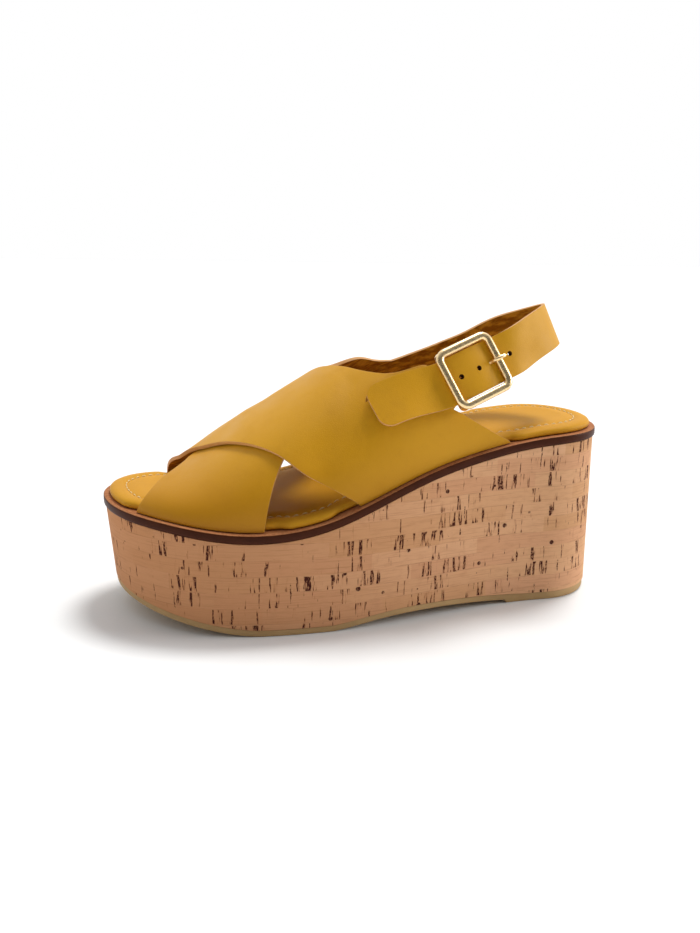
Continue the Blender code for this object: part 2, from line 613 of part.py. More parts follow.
def ring_shape():
    seat, along, across, out = buckle_axes()
    reach_along = SPAN_ALONG / 2 - BUCKLE_CORNER
    reach_across = SPAN_ACROSS / 2 - BUCKLE_CORNER
    centre = seat + along * SPAN_ALONG / 2 + out * frame_height()
    path = []
    for quarter in range(4):
        for angle in np.linspace(0, 90, 5) + quarter * 90:
            corner_x = reach_along * (1 if quarter in (0, 3) else -1)
            corner_y = reach_across * (1 if quarter in (0, 1) else -1)
            path.append(centre + along * (corner_x + BUCKLE_CORNER * np.cos(np.radians(angle)))
                        + across * (corner_y + BUCKLE_CORNER * np.sin(np.radians(angle))))
    return sweep(np.array(path), out, oval(BUCKLE_BAR, BUCKLE_DEPTH, 8, 2.6), True)


def under_bar_depth():
    """Axis of the under-bar below the middle of the strap."""
    return LEATHER * 1.5 + SEAT_GAP + CLEARANCE + UNDER_BAR / 2


def under_bar_shape():
    seat, along, across, out = buckle_axes()
    reach, top, low, bend = SPAN_ACROSS / 2, frame_height(), -under_bar_depth(), UNDER_BAR_BEND
    path = []
    for side in (1, -1):
        arm = [(side * reach, top), (side * reach, low + bend + UNDER_BAR_LEG)]
        for angle in np.linspace(0, 90, 4):
            arm.append((side * (reach - bend + bend * np.cos(np.radians(angle))),
                        low + bend - bend * np.sin(np.radians(angle))))
        path += arm if side > 0 else arm[::-1]
    start = seat + along * UNDER_BAR_SHIFT
    path = np.array([start + across * aside + out * height for aside, height in path])
    return sweep(path, along, oval(UNDER_BAR, UNDER_BAR, 8), False)


def prong_shape():
    """Hooked round the under-bar, under the strap, out through its hole and over the right bar."""
    seat, along, across, out = buckle_axes()
    hook = UNDER_BAR / 2 + CLEARANCE + PRONG / 2
    path = []
    for angle in np.linspace(-80, -250, 8):
        path.append((UNDER_BAR_SHIFT + hook * np.cos(np.radians(angle)),
                     -under_bar_depth() + hook * np.sin(np.radians(angle))))
    rest = frame_height() + BUCKLE_DEPTH / 2 + CLEARANCE + PRONG / 2
    for share, height in zip(PRONG_RISE["share"], PRONG_RISE["height"]):
        path.append((SPAN_ALONG * share, height))
    path += [(SPAN_ALONG * 0.97, rest), (SPAN_ALONG * 1.03, rest), (SPAN_ALONG * 1.09, rest - PRONG_TIP_DROP)]
    path = np.array(path)
    gone = np.concatenate([[0], np.cumsum(np.linalg.norm(np.diff(path, axis=0), axis=1))])
    path = spline(gone, path, np.linspace(0, gone[-1], 34))
    points = seat + along * path[:, :1] + out * path[:, 1:]
    return sweep(points, across, oval(PRONG, PRONG, 8), False)


def slot_shape():
    """Room for the prong through the tab's fold."""
    seat, along, across, out = buckle_axes()
    half = PRONG / 2 + CLEARANCE * 1.5
    low, high = -under_bar_depth() - SLOT_DEEP, -LEATHER / 2 - CLEARANCE / 2
    fore, aft = UNDER_BAR_SHIFT - SLOT_FORE, UNDER_BAR_SHIFT + SLOT_AFT
    path = np.array([seat + along * x + out * (low + high) / 2 for x in (fore, aft)])
    profile = np.array([(-1, -1), (1, -1), (1, 1), (-1, 1)]) * [(high - low) / 2, half]
    return sweep(path, across, profile, False)


def prong_hole_shape():
    """Oblong hole in the strap where the prong comes out."""
    seat, along, across, out = buckle_axes()
    angle = np.radians(np.arange(14) * 360 / 14)
    profile = np.stack([np.cos(angle) * (PRONG + PRONG_HOLE_LONG),
                        np.sin(angle) * (PRONG + PRONG_HOLE_WIDE)], axis=1) / 2
    middle = seat + along * SPAN_ALONG * PRONG_HOLE_AT
    path = np.array([middle + out * height for height in (-LEATHER * 1.3, LEATHER * 2.2)])
    return sweep(path, across, profile, False)


# Objects


def material(name, colour, roughness, metallic):
    """Principled material from a colour in 0 to 255 screen values."""
    share = np.array(colour) / 255
    linear = np.where(share <= 0.04045, share / 12.92, ((share + 0.055) / 1.055) ** 2.4)
    made = bpy.data.materials.new(name)
    made.use_nodes = True
    shader = made.node_tree.nodes["Principled BSDF"]
    shader.inputs["Base Color"].default_value = (*linear, 1)
    shader.inputs["Roughness"].default_value = roughness
    shader.inputs["Metallic"].default_value = metallic
    return made


def add_object(name, shape, finish=None, closed=True):
    """Object from points and faces, smooth shaded, with its faces turned outwards."""
    points, faces = shape
    mesh = bpy.data.meshes.new(name)
    mesh.from_pydata([tuple(map(float, point)) for point in points], [], faces)
    if closed:
        work = bmesh.new()
        work.from_mesh(mesh)
        bmesh.ops.recalc_face_normals(work, faces=work.faces)
        work.to_mesh(mesh)
        work.free()
    mesh.shade_smooth()
    mesh.set_sharp_from_angle(angle=np.radians(SHARP_ANGLE))
    made = bpy.data.objects.new(name, mesh)
    bpy.context.scene.collection.objects.link(made)
    if finish:
        made.data.materials.append(finish)
    return made


def hide_cutter(cutter):
    cutter.hide_render = True
    cutter.display_type = "WIRE"
    return cutter


def add_boolean(target, cutter, operation):
    change = target.modifiers.new(cutter.name, "BOOLEAN")
    change.operation = operation
    change.solver = "EXACT"
    change.object = cutter


def add_wall(target, thickness=LEATHER):
    wall = target.modifiers.new("leather", "SOLIDIFY")
    wall.thickness = thickness
    wall.offset = 0


for old in list(bpy.data.objects):
    bpy.data.objects.remove(old)

rubber = material("outsole_rubber", (122, 104, 86), 0.75, 0.0)
cork = material("cork", (190, 145, 108), 0.85, 0.0)
board = material("welt_board", (76, 46, 34), 0.6, 0.0)
footbed = material("footbed_leather", (222, 172, 92), 0.4, 0.0)
leather = material("strap_leather", (200, 146, 52), 0.5, 0.0)
metal = material("buckle_metal", (226, 204, 160), 0.2, 1.0)

add_object("outsole", outsole_shape(), rubber)
add_object("wedge", wedge_shape(), cork)
add_object("welt", welt_shape(), board)
add_object("insole", insole_shape(), footbed)

upper = add_object("upper", upper_strap_shape(), leather, closed=False)
lower_strap = hide_cutter(add_object("lower_strap", lower_strap_shape(), leather, closed=False))
slot = hide_cutter(add_object("tab_slot", slot_shape()))
prong_hole = hide_cutter(add_object("prong_hole", prong_hole_shape()))
seam = hide_cutter(add_object("crossing_seam", seam_shape(), leather, closed=False))
add_wall(seam, LEATHER + CROSSING_GAP)
add_wall(lower_strap)
add_boolean(lower_strap, prong_hole, "DIFFERENCE")
add_wall(upper)
add_boolean(upper, slot, "DIFFERENCE")
add_boolean(upper, seam, "UNION")
add_boolean(upper, lower_strap, "UNION")

frame = add_object("buckle_frame", ring_shape(), metal)
under_bar = hide_cutter(add_object("under_bar", under_bar_shape()))
add_boolean(frame, under_bar, "UNION")
add_object("buckle_prong", prong_shape(), metal)
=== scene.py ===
import bmesh
import bpy
import numpy as np
from mathutils import Matrix, Vector


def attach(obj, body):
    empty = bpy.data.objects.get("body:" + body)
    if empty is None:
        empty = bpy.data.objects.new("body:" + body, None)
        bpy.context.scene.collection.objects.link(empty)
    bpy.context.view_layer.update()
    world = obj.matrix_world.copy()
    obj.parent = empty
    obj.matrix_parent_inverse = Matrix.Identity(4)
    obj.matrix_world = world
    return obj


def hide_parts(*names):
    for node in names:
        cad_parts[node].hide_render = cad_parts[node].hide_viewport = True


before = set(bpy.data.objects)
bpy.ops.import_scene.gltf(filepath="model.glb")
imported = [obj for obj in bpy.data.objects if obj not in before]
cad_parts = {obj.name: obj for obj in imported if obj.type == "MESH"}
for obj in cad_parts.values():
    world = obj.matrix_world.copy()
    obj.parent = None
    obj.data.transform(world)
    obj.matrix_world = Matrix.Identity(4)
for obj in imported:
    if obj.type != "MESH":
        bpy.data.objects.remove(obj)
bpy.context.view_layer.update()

# Outsole. A moulded sheet of olive-tan rubber glued under the whole cork wedge. It thickens to a pad under
# the heel, rises at the toe and the waist, and is scored with fine cross grooves where it treads.

LENGTH = 0.244              # sole, toe to heel
MIDDLE = 0.50246            # station at X = 0; a station is a share of LENGTH from the toe
BALL_WIDTH, HEEL_WIDTH = 0.0954, 0.0674
BALL_LATERAL, BALL_MEDIAL, SHANK = 0.41, 0.22, 0.86     # stations of the outline's corners
TIP_ASIDE, HEEL_ASIDE = 0.142, -0.013       # tip and heel off the middle line, in widths
TOE_POWER, HEEL_POWER = 2.6, 2.3            # of the superellipses at the outline's ends
BALL_HEIGHT, TOE_RISE, HEEL_CLIMB = 0.0443, 0.0062, 0.0363      # top of the cork
FLAT_TOE, FLAT_BALL, HEEL_BREAST = 0.27, 0.41, 0.775    # stations where the tread leaves the floor
PAD_FRONT = 0.006           # stations that the upright front of the heel pad takes
TOE_SPRING, ARCH_RISE, HEEL_PAD = 0.0125, 0.0042, 0.0009
RUBBER_THICK, RUBBER_IN = 0.0030, 0.0004
GROOVE_PITCH, GROOVE_DEEP, GROOVE_BORDER = 0.0042, 0.00045, 0.0065
LOOP_STATIONS = 190


def table(names, *rows):
    """Columns by name, from a line of names and one tuple for each section."""
    return {name: np.array(values, float) for name, values in zip(names.split(), zip(*rows))}


def spline(xs, ys, at):
    """Natural cubic spline: the second slope is linear between points, nought at both ends, and makes the
    first slopes meet at each point. Past its ends the curve goes on straight."""
    step = np.diff(xs)
    slope = np.diff(ys, axis=0) / step.reshape((-1,) + (1,) * (np.ndim(ys) - 1))
    matrix = np.eye(len(xs))
    inner = np.arange(1, len(xs) - 1)
    matrix[inner, inner - 1] = step[:-1]
    matrix[inner, inner] = 2 * (step[:-1] + step[1:])
    matrix[inner, inner + 1] = step[1:]
    right = np.zeros((len(xs),) + np.shape(ys)[1:])
    right[1:-1] = 6 * (slope[1:] - slope[:-1])
    bend = np.linalg.solve(matrix, right)
    at = np.asarray(at, float)
    held = np.clip(at, xs[0], xs[-1])
    cell = np.clip(np.searchsorted(xs, held) - 1, 0, len(xs) - 2)
    shape = np.shape(at) + (1,) * (np.ndim(ys) - 1)
    width, left, gone = (v.reshape(shape) for v in (step[cell], xs[cell + 1] - held, held - xs[cell]))
    inside = ((bend[cell] * left ** 3 + bend[cell + 1] * gone ** 3) / (6 * width)
              + (ys[cell] / width - bend[cell] * width / 6) * left
              + (ys[cell + 1] / width - bend[cell + 1] * width / 6) * gone)
    first = slope[0] - step[0] * bend[1] / 6
    final = slope[-1] + step[-1] * bend[-2] / 6
    return (inside + first * np.minimum(at - xs[0], 0).reshape(shape)
            + final * np.maximum(at - xs[-1], 0).reshape(shape))


def smooth(share):
    """Cubic step from 0 to 1, level at both ends: 3 s squared less 2 s cubed."""
    share = np.clip(share, 0, 1)
    return share * share * (3 - 2 * share)


def unit(vectors):
    """Each vector divided by its own length."""
    return vectors / np.linalg.norm(vectors, axis=-1, keepdims=True)


DECK = table("station toe climb",
             (0.00, 1.00, 0.000), (0.10, 0.66, 0.000), (0.20, 0.14, 0.000), (0.28, 0.00, 0.000),
             (0.40, 0.00, 0.125), (0.50, 0.00, 0.385), (0.60, 0.00, 0.645), (0.70, 0.00, 0.815),
             (0.80, 0.00, 0.930), (0.90, 0.00, 0.990), (1.00, 0.00, 1.000))
ARCH = table("station rise",
             (0.41, 0.00), (0.45, 0.34), (0.50, 0.75), (0.59, 1.00), (0.70, 0.74), (0.775, 0.40))


def deck(x):
    """Top of the cork: level at the ball, with a rise to the toe and a climb to the heel, each a spline
    through DECK."""
    station = x / LENGTH + MIDDLE
    return (BALL_HEIGHT + TOE_RISE * spline(DECK["station"], DECK["toe"], station)
            + HEEL_CLIMB * spline(DECK["station"], DECK["climb"], station))


def underside(x):
    """Foot of the rubber: flat under the ball, a power curve up to the toe, a spline arch at the waist."""
    station = x / LENGTH + MIDDLE
    toe = TOE_SPRING * np.clip((FLAT_TOE - station) / FLAT_TOE, 0, 1) ** 1.4
    arch = ARCH_RISE * spline(ARCH["station"], ARCH["rise"], np.clip(station, FLAT_BALL, HEEL_BREAST))
    heel = smooth((station - HEEL_BREAST) / 0.05)
    return toe + np.where(station < FLAT_BALL, 0, arch) * (1 - heel) + HEEL_PAD * heel


def tread(x):
    """The underside, but level with the floor under the heel pad, behind its upright front."""
    station = x / LENGTH + MIDDLE
    return underside(x) * (1 - smooth((station - HEEL_BREAST) / PAD_FRONT))


def half_width(station, side):
    """Outline as y: a superellipse quarter at the toe and the heel, joined by a cubic S-curve."""
    ball = np.where(side < 0, BALL_LATERAL, BALL_MEDIAL)
    ball_y = side * BALL_WIDTH / 2
    heel_y = side * HEEL_WIDTH / 2 + HEEL_ASIDE * HEEL_WIDTH
    tip_y, back_y = TIP_ASIDE * BALL_WIDTH, HEEL_ASIDE * HEEL_WIDTH
    ahead = np.clip((ball - station) / ball, 0, 1)
    behind = np.clip((station - SHANK) / (1 - SHANK), 0, 1)
    toe = tip_y + (ball_y - tip_y) * np.sqrt(1 - ahead ** TOE_POWER)
    waist = ball_y + (heel_y - ball_y) * smooth((station - ball) / (SHANK - ball))
    heel = back_y + (heel_y - back_y) * np.sqrt(1 - behind ** HEEL_POWER)
    return np.where(station < ball, toe, np.where(station < SHANK, waist, heel))


def outline(station, side, inset):
    """x and y on the cork's outline, moved in along its normal by inset."""
    low, high = np.clip(station - 1e-4, 0, 1), np.clip(station + 1e-4, 0, 1)
    run, rise = (high - low) * LENGTH, half_width(high, side) - half_width(low, side)
    size = np.hypot(run, rise)
    return ((station - MIDDLE) * LENGTH + inset * side * rise / size,
            half_width(station, side) - inset * side * run / size)


STATIONS = np.unique(np.concatenate([(1 - np.cos(np.linspace(0, np.pi, LOOP_STATIONS))) / 2,
                                     [FLAT_TOE, FLAT_BALL, HEEL_BREAST, HEEL_BREAST + PAD_FRONT]]))


def loop(inset, height):
    """One loop round the sole, up the lateral side and back down the medial one. inset(station, side) moves
    it in, and height(x) lifts it. Both sides share the points at the tip and at the back."""
    places = [outline(STATIONS, side, inset(STATIONS, side)) for side in (-1, 1)]
    lateral, medial = (np.stack([x, y, height(x)], axis=1) for x, y in places)
    lateral[[0, -1]] = (lateral[[0, -1]] + medial[[0, -1]]) / 2
    return np.concatenate([lateral, medial[-2:0:-1]])


def moulded(profile, inset, height):
    """Loops of a layer's edge, one for each row of the profile, which adds to inset and to height."""
    return [loop(lambda station, side, further=further: inset(station, side) + further,
                 lambda x, more=more: height(x) + more) for further, more in profile]


def quads_of(grid):
    """Quads between the neighbours of a grid of point numbers, or of a stack of such grids."""
    return np.stack([grid[..., :-1, :-1], grid[..., :-1, 1:], grid[..., 1:, 1:], grid[..., 1:, :-1]],
                    axis=-1).reshape(-1, 4)


def ringed(grid):
    """The grid with its first column once more after its last."""
    return np.concatenate([grid, grid[..., :1]], axis=-1)


def sheet_of_sole(loops, columns, under=None, over=None):
    """Closed layer of the sole. Loops are joined upwards by quads, and a grid goes straight across the lowest
    and the highest one. under(points, share) and over(points, share) give the lift of the grids' points."""
    count = len(loops[0])
    quads = [quads_of(ringed(np.arange(len(loops) * count).reshape(len(loops), count)))]
    points, ends = [np.concatenate(loops)], []
    for base, relief in ((0, under), ((len(loops) - 1) * count, over)):
        stations = count // 2 + 1
        left = base + np.arange(stations)
        right = base + (count - np.arange(stations)) % count
        share = np.linspace(0, 1, columns + 1)[None, 1:-1, None]
        start, finish = points[0][left[1:-1], None], points[0][right[1:-1], None]
        inner = start * (1 - share) + finish * share
        if relief:
            inner[..., 2] += relief(inner, share[..., 0])
        first = sum(len(p) for p in points)
        index = np.empty((stations, columns + 1), int)
        index[:, 0], index[:, -1] = left, right
        index[[0, -1]] = left[[0, -1], None]
        index[1:-1, 1:-1] = first + np.arange(inner.shape[0] * inner.shape[1]).reshape(inner.shape[:2])
        points.append(inner.reshape(-1, 3))
        quads.append(quads_of(index[1:-1]))
        ends += [np.stack([index[0, :-1], index[1, :-1], index[1, 1:]], axis=-1),
                 np.stack([index[-1, 1:], index[-2, 1:], index[-2, :-1]], axis=-1)]
    return np.concatenate(points), np.concatenate(quads).tolist() + np.concatenate(ends).tolist()


def piece(name, points, faces, finishes, closed=True, sharp=40):
    """Object at the origin with its place in its mesh, smooth but for edges sharper than that angle."""
    mesh = bpy.data.meshes.new(name)
    mesh.from_pydata(points.tolist(), [], faces)
    if closed:
        work = bmesh.new()
        work.from_mesh(mesh)
        bmesh.ops.recalc_face_normals(work, faces=work.faces)
        work.to_mesh(mesh)
        work.free()
    mesh.shade_smooth()
    mesh.set_sharp_from_angle(angle=np.radians(sharp))
    made = bpy.data.objects.new(name, mesh)
    bpy.context.scene.collection.objects.link(made)
    for finish in finishes:
        mesh.materials.append(finish)
    return made


def colour(*screen):
    """Linear colour from a screen colour of 0 to 255 for each channel."""
    share = np.array(screen) / 255
    linear = np.where(share <= 0.04045, share / 12.92, ((share + 0.055) / 1.055) ** 2.4)
    return (*linear.tolist(), 1.0)


def plug(made, sockets):
    """Gives each named input of a node its value, or the output that feeds it."""
    for key, value in sockets.items():
        if isinstance(value, bpy.types.NodeSocket):
            made.id_data.links.new(value, made.inputs[key])
        else:
            made.inputs[key].default_value = value
    return made


def node(kind, sockets=(), tree=None, **settings):
    """Shader node of that kind with its inputs plugged, in the tree given or in that of its first feed."""
    sockets = dict(sockets)
    feeds = [value for value in sockets.values() if isinstance(value, bpy.types.NodeSocket)]
    made = (tree or feeds[0].id_data).nodes.new("ShaderNode" + kind)
    for key, value in settings.items():
        setattr(made, key, value)
    return plug(made, sockets)


def maths(operation, *values):
    """One sum on numbers or outputs."""
    return node("Math", enumerate(values), operation=operation).outputs[0]


def times(first, second):
    """Product."""
    return maths("MULTIPLY", first, second)


def plus(first, second):
    """Sum."""
    return maths("ADD", first, second)


def less(first, second):
    """Difference."""
    return maths("SUBTRACT", first, second)


def axes(vector):
    """X, Y and Z of an output."""
    return node("SeparateXYZ", {0: vector}).outputs


def mixed(share, low, high):
    """Colour from low to high by share. Each is a screen colour or an output."""
    low, high = (colour(*end) if isinstance(end, tuple) else end for end in (low, high))
    return node("Mix", {0: share, 6: low, 7: high}, data_type="RGBA").outputs[2]


def covered(base, *layers):
    """Colour under layers. Each layer is a mask, the share of it that covers, and a screen colour."""
    for mask, share, screen in layers:
        base = mixed(times(mask, share), base, screen)
    return base


def ranged(value, low, high, least, most, way="LINEAR"):
    """least up to low, most from high on, and a climb between them, straight or a SMOOTHSTEP."""
    inputs = {0: value, 1: low, 2: high, 3: least, 4: most}
    return node("MapRange", inputs, interpolation_type=way).outputs[0]


def step(value, low, high):
    """0 up to low, 1 from high on, and a smooth climb between them."""
    return ranged(value, low, high, 0, 1, "SMOOTHSTEP")


def noise(where, scale, detail=2.0, roughness=0.5, stretch=(1, 1, 1), turn=0.0):
    """Noise between 0 and 1; stretch and turn lay it out first."""
    laid = node("Mapping", {"Vector": where, "Scale": stretch, "Rotation": (0, 0, turn)}).outputs[0]
    inputs = {"Vector": laid, "Scale": scale, "Detail": detail, "Roughness": roughness}
    return node("TexNoise", inputs).outputs[0]


def finish(name, roughness, metallic=0.0, **shader_values):
    """Principled material, its shader and its Object coordinates."""
    made = bpy.data.materials.new(name)
    made.use_nodes = True
    values = {key.replace("_", " "): value for key, value in shader_values.items()}
    values.update(Roughness=roughness, Metallic=metallic)
    shader = plug(made.node_tree.nodes["Principled BSDF"], values)
    return made, shader, node("TexCoord", tree=made.node_tree).outputs["Object"]


def raise_surface(shader, height, distance, strength=1.0):
    """Bump: height of 1 stands out by distance."""
    bump = node("Bump", {"Height": height, "Distance": distance, "Strength": strength})
    plug(shader, {"Normal": bump.outputs[0]})


rubber, shader, place = finish("outsole_rubber", 0.7, Specular_IOR_Level=0.3)
grime = step(noise(place, 22, 5, 0.65), 0.52, 0.78)
base = mixed(noise(place, 60, 4, 0.6), (170, 134, 88), (202, 168, 118))
plug(shader, {"Base Color": covered(base, (grime, 0.35, (118, 88, 54)))})
raise_surface(shader, noise(place, 1500, 3, 0.6), 0.00006)


def wall_in(station):
    """How far the foot of the cork's wall stands in from its top: 2.6 mm at the toe, fading behind it, and
    2 mm outwards at the heel."""
    toe = 1 - 0.88 * smooth(station / 0.24)
    heel = smooth((station - 0.72) / 0.28)
    return 0.0026 * toe * (1 - heel) - 0.0020 * heel


def cross_grooves(points, share):
    """Grooves across the tread: the square root of the positive half of a sine along X, up to GROOVE_DEEP
    deep, that fade out towards the border. share is the way across, from side to side."""
    x, y = points[..., 0], points[..., 1]
    wave = np.clip(np.sin(x * 2 * np.pi / GROOVE_PITCH), 0, 1) ** 0.5
    across = np.minimum(share, 1 - share) * np.ptp(y, axis=1, keepdims=True)
    return GROOVE_DEEP * wave * smooth((across - GROOVE_BORDER) / 0.002)


# Insets and heights of the loops that round the rubber's lower edge
RUBBER_EDGE = ((0.0007, 0.0), (0.00035, 0.00009), (0.00009, 0.00035), (0.0, 0.0007))
rubber_loops = moulded(RUBBER_EDGE, lambda station, side: wall_in(station) + RUBBER_IN, tread)
rubber_loops += moulded([(0, RUBBER_THICK)], lambda station, side: wall_in(station) + RUBBER_IN, underside)
outsole = piece("outsole_rubber", *sheet_of_sole(rubber_loops, 30, under=cross_grooves), [rubber], sharp=50)
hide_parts("outsole")
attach(outsole, "root")

# Cork wedge. A light core wrapped in natural cork sheet: narrow strips glued edge to edge, each with its own
# tint and its own row of upright dark grain marks. The sheet's ends meet on the medial side.

CORK_LEVELS, GLUE_GAP = 12, 0.0003
STRIP_TALL, PATCH_LONG, LONG_STRIP_TALL = 7.6, 58.0, 13.7       # millimetres, as the pattern below
cork_loops = [loop(lambda station, side, up=up: wall_in(station) * (1 - up),
                   lambda x, up=up: (underside(x) + RUBBER_THICK + GLUE_GAP) * (1 - up) + deck(x) * up)
              for up in np.linspace(0, 1, CORK_LEVELS + 1)]

cork, shader, place = finish("cork", 0.85, Specular_IOR_Level=0.15)
wrap = node("Mapping", {"Vector": node("UVMap", tree=shader.id_data, uv_map="wrap").outputs[0],
                        "Scale": (1000, 1000, 1000)}).outputs[0]        # millimetres round and up the wall
along, up = axes(wrap)[:2]
height = plus(up, times(noise(wrap, 1.0, 1, 0.5, (0.012, 0.0, 0.0)), 3.0))
lane = maths("DIVIDE", height, STRIP_TALL)
strip, in_strip = maths("FLOOR", lane), maths("FRACT", lane)
patch = maths("FLOOR", plus(maths("DIVIDE", along, PATCH_LONG), times(strip, 0.37)))
own = node("CombineXYZ", {0: strip, 1: patch}).outputs[0]
tint, pink, crowd = axes(node("TexWhiteNoise", {0: own}).outputs["Color"])


def cork_lay(u, v, shift):
    """Place of the pattern inside its own strip and patch: u and v times the millimetres, moved by shift for
    each strip and patch, so that no mark runs on into the next strip."""
    moved = plus(times(strip, shift), times(patch, shift / 3))
    return node("CombineXYZ", {0: times(along, u), 1: plus(times(up, v), moved), 2: moved}).outputs[0]


# Dark marks: short upright ones, which crowd in flocks and keep inside their strip, round blots, and long
# ones that pass over the joints. The crumble breaks up all three.
marks = noise(cork_lay(0.62, 0.065, 7.7), 1.0, 2.5, 0.62)
flock = noise(cork_lay(0.075, 0.0, 3.3), 1.0, 1.0)
crumble = noise(cork_lay(1.5, 0.75, 2.1), 1.0, 3.0, 0.7)
limit = less(less(0.72, times(step(flock, 0.42, 0.64), 0.15)), times(crowd, 0.03))
over_limit = less(marks, limit)
from_middle = maths("ABSOLUTE", less(in_strip, 0.5))
inside_strip = step(from_middle, 0.49, 0.42)
dash = times(times(step(over_limit, -0.004, 0.016), inside_strip), step(crumble, 0.36, 0.52))
halo = times(step(over_limit, -0.06, 0.02), inside_strip)
far_strip = maths("FLOOR", maths("DIVIDE", height, LONG_STRIP_TALL))
far_lay = node("CombineXYZ", {0: times(along, 0.44), 1: times(up, 0.04), 2: times(far_strip, 9.1)}).outputs[0]
long_dash = times(step(noise(far_lay, 1.0, 3.0, 0.6), 0.682, 0.697), step(crumble, 0.40, 0.50))
cells = node("TexVoronoi", {"Vector": cork_lay(0.15, 0.15, 5.9), "Scale": 1.0, "Randomness": 1.0}).outputs
blot_size = times(step(axes(cells["Color"])[0], 0.74, 1.0), 0.17)
blot = times(step(less(cells["Distance"], blot_size), 0.035, -0.01), step(crumble, 0.3, 0.5))
dark = maths("MAXIMUM", maths("MAXIMUM", dash, blot), long_dash)

layers = noise(wrap, 1.0, 3, 0.65, (0.035, 1.7, 1.0))
flesh = noise(wrap, 1.0, 4, 0.6, (0.16, 0.5, 1.0))
# Darker towards the toe: partly the cork's own tint, partly painted shade for the toe end that faces away
# from the light.
toe_tint_and_shade = step(axes(place)[0], 0.125, -0.13)
joint = times(step(from_middle, 0.475, 0.498), step(noise(wrap, 1.0, 2, 0.5, (0.09, 0.3, 1.0)), 0.42, 0.6))
base = covered(mixed(tint, (214, 162, 117), (228, 177, 136)),
               (step(pink, 0.7, 0.8), 0.6, (216, 160, 122)),
               (toe_tint_and_shade, 0.75, (192, 131, 86)),
               (step(layers, 0.5, 0.72), 0.42, (168, 112, 74)),
               (step(flesh, 0.45, 0.75), 0.3, (182, 128, 88)),
               (joint, 0.32, (136, 88, 58)),
               (halo, 0.4, (158, 92, 56)),
               (dark, 0.97, (60, 14, 8)))
plug(shader, {"Base Color": base})
raise_surface(shader, less(times(layers, 0.35), plus(dark, times(joint, 0.4))), 0.00025, 0.7)

wedge = piece("cork_wedge", *sheet_of_sole(cork_loops, 12), [cork], sharp=50)


def walked(points, axis=0):
    """Length walked along an axis of a grid of points, from nought at its first."""
    first = np.take(points, [0], axis)
    return np.linalg.norm(np.diff(points, axis=axis, prepend=first), axis=-1).cumsum(axis=axis)


def corners_of(mesh):
    """Point number of each corner of the faces."""
    corner = np.zeros(len(mesh.loops), int)
    mesh.loops.foreach_get("vertex_index", corner)
    return corner


def wrap_round(target, loops):
    """UV map in metres: u is the length walked round the top loop from the medial waist, v the height. In the
    faces across the start, u goes on past the whole length, so that the sheet meets itself in one seam."""
    top = loops[-1]
    start = len(top) - int(np.searchsorted(STATIONS, 0.6))
    gone = walked(np.roll(top, -start, axis=0))
    whole = gone[-1] + np.linalg.norm(top[start] - top[start - 1])
    mesh = target.data
    corner = corners_of(mesh)
    place = np.zeros((len(mesh.vertices), 3))
    mesh.vertices.foreach_get("co", place.ravel())
    on_loops = len(loops) * len(top)
    u = place[:, 0].copy()
    u[:on_loops] = np.tile(np.roll(gone, start), len(loops))
    u, v = u[corner], place[corner, 2]
    sizes = np.zeros(len(mesh.polygons), int)
    mesh.polygons.foreach_get("loop_total", sizes)
    face = np.repeat(np.arange(len(sizes)), sizes)
    highest = np.full(len(sizes), -1.0)
    np.maximum.at(highest, face, u)
    u = u + np.where(highest[face] - u > whole / 2, whole, 0)
    mesh.uv_layers.new(name="wrap").data.foreach_set("uv", np.stack([u, v], axis=1).ravel())


wrap_round(wedge, cork_loops)
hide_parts("wedge")
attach(wedge, "root")

# Welt. A band of leatherboard between cork and insole, cut proud of the cork. Its edge is dyed and waxed dark
# brown, and its top shows as a narrow reddish-tan rim outside the straps.

WELT_THICK, WELT_PROUD = 0.0040, 0.0008
RIM_CUT = table("out height tan",
                (0.00000, 0.00000, 0.0), (0.00055, 0.00012, 0.0), (0.00080, 0.00048, 0.0),
                (0.00084, 0.00160, 0.0), (0.00080, 0.00300, 0.0), (0.00070, 0.00352, 0.05),
                (0.00048, 0.00384, 0.55), (0.00010, 0.00398, 0.95), (-0.00060, 0.00400, 1.0),
                (-0.00300, 0.00400, 1.0))
welt_loops = moulded(zip(-RIM_CUT["out"], RIM_CUT["height"]), lambda station, side: 0 * station,
                     lambda x: deck(x) + GLUE_GAP)

board, shader, place = finish("welt_board", 0.5, Specular_IOR_Level=0.08)
tan = node("Attribute", tree=shader.id_data, attribute_name="tan", attribute_type="GEOMETRY").outputs["Fac"]
fibre = noise(place, 900, 4, 0.65)
cloud = noise(place, 90, 3, 0.6, (1, 1, 3))
ragged = step(plus(tan, times(less(fibre, 0.5), 0.9)), 0.3, 0.7)
rim_tan = covered(mixed(cloud, (158, 98, 62), (196, 138, 92)),
                  (step(fibre, 0.46, 0.62), 0.5, (128, 64, 30)))
plug(shader, {"Base Color": mixed(ragged, mixed(cloud, (50, 20, 8), (84, 42, 22)), rim_tan),
              "Roughness": ranged(tan, 0, 1, 0.42, 0.68)})
raise_surface(shader, fibre, 0.00008, 0.8)

welt = piece("welt_band", *sheet_of_sole(welt_loops, 8), [board], sharp=60)
values = np.ones(len(welt.data.vertices), np.float32)
values[:len(welt_loops) * len(welt_loops[0])] = np.repeat(RIM_CUT["tan"], len(welt_loops[0]))
welt.data.attributes.new("tan", "FLOAT", "POINT").data.foreach_set("value", values)
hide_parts("welt")
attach(welt, "root")

# Insole. A padded footbed covered in glazed golden-tan leather, turned over at its edge. One row of pale
# stitches lies in a pressed channel all round it. Beside the straps it draws in to let them down to the welt.

RIM_WIDTH, LEATHER = 0.0030, 0.0018
CHANNEL_IN, CHANNEL_FLOOR = 0.0078, 0.0032
STITCH_LONG, STITCH_PITCH, STITCH_THICK, STITCH_UP = 0.0028, 0.0040, 0.00062, 0.00012
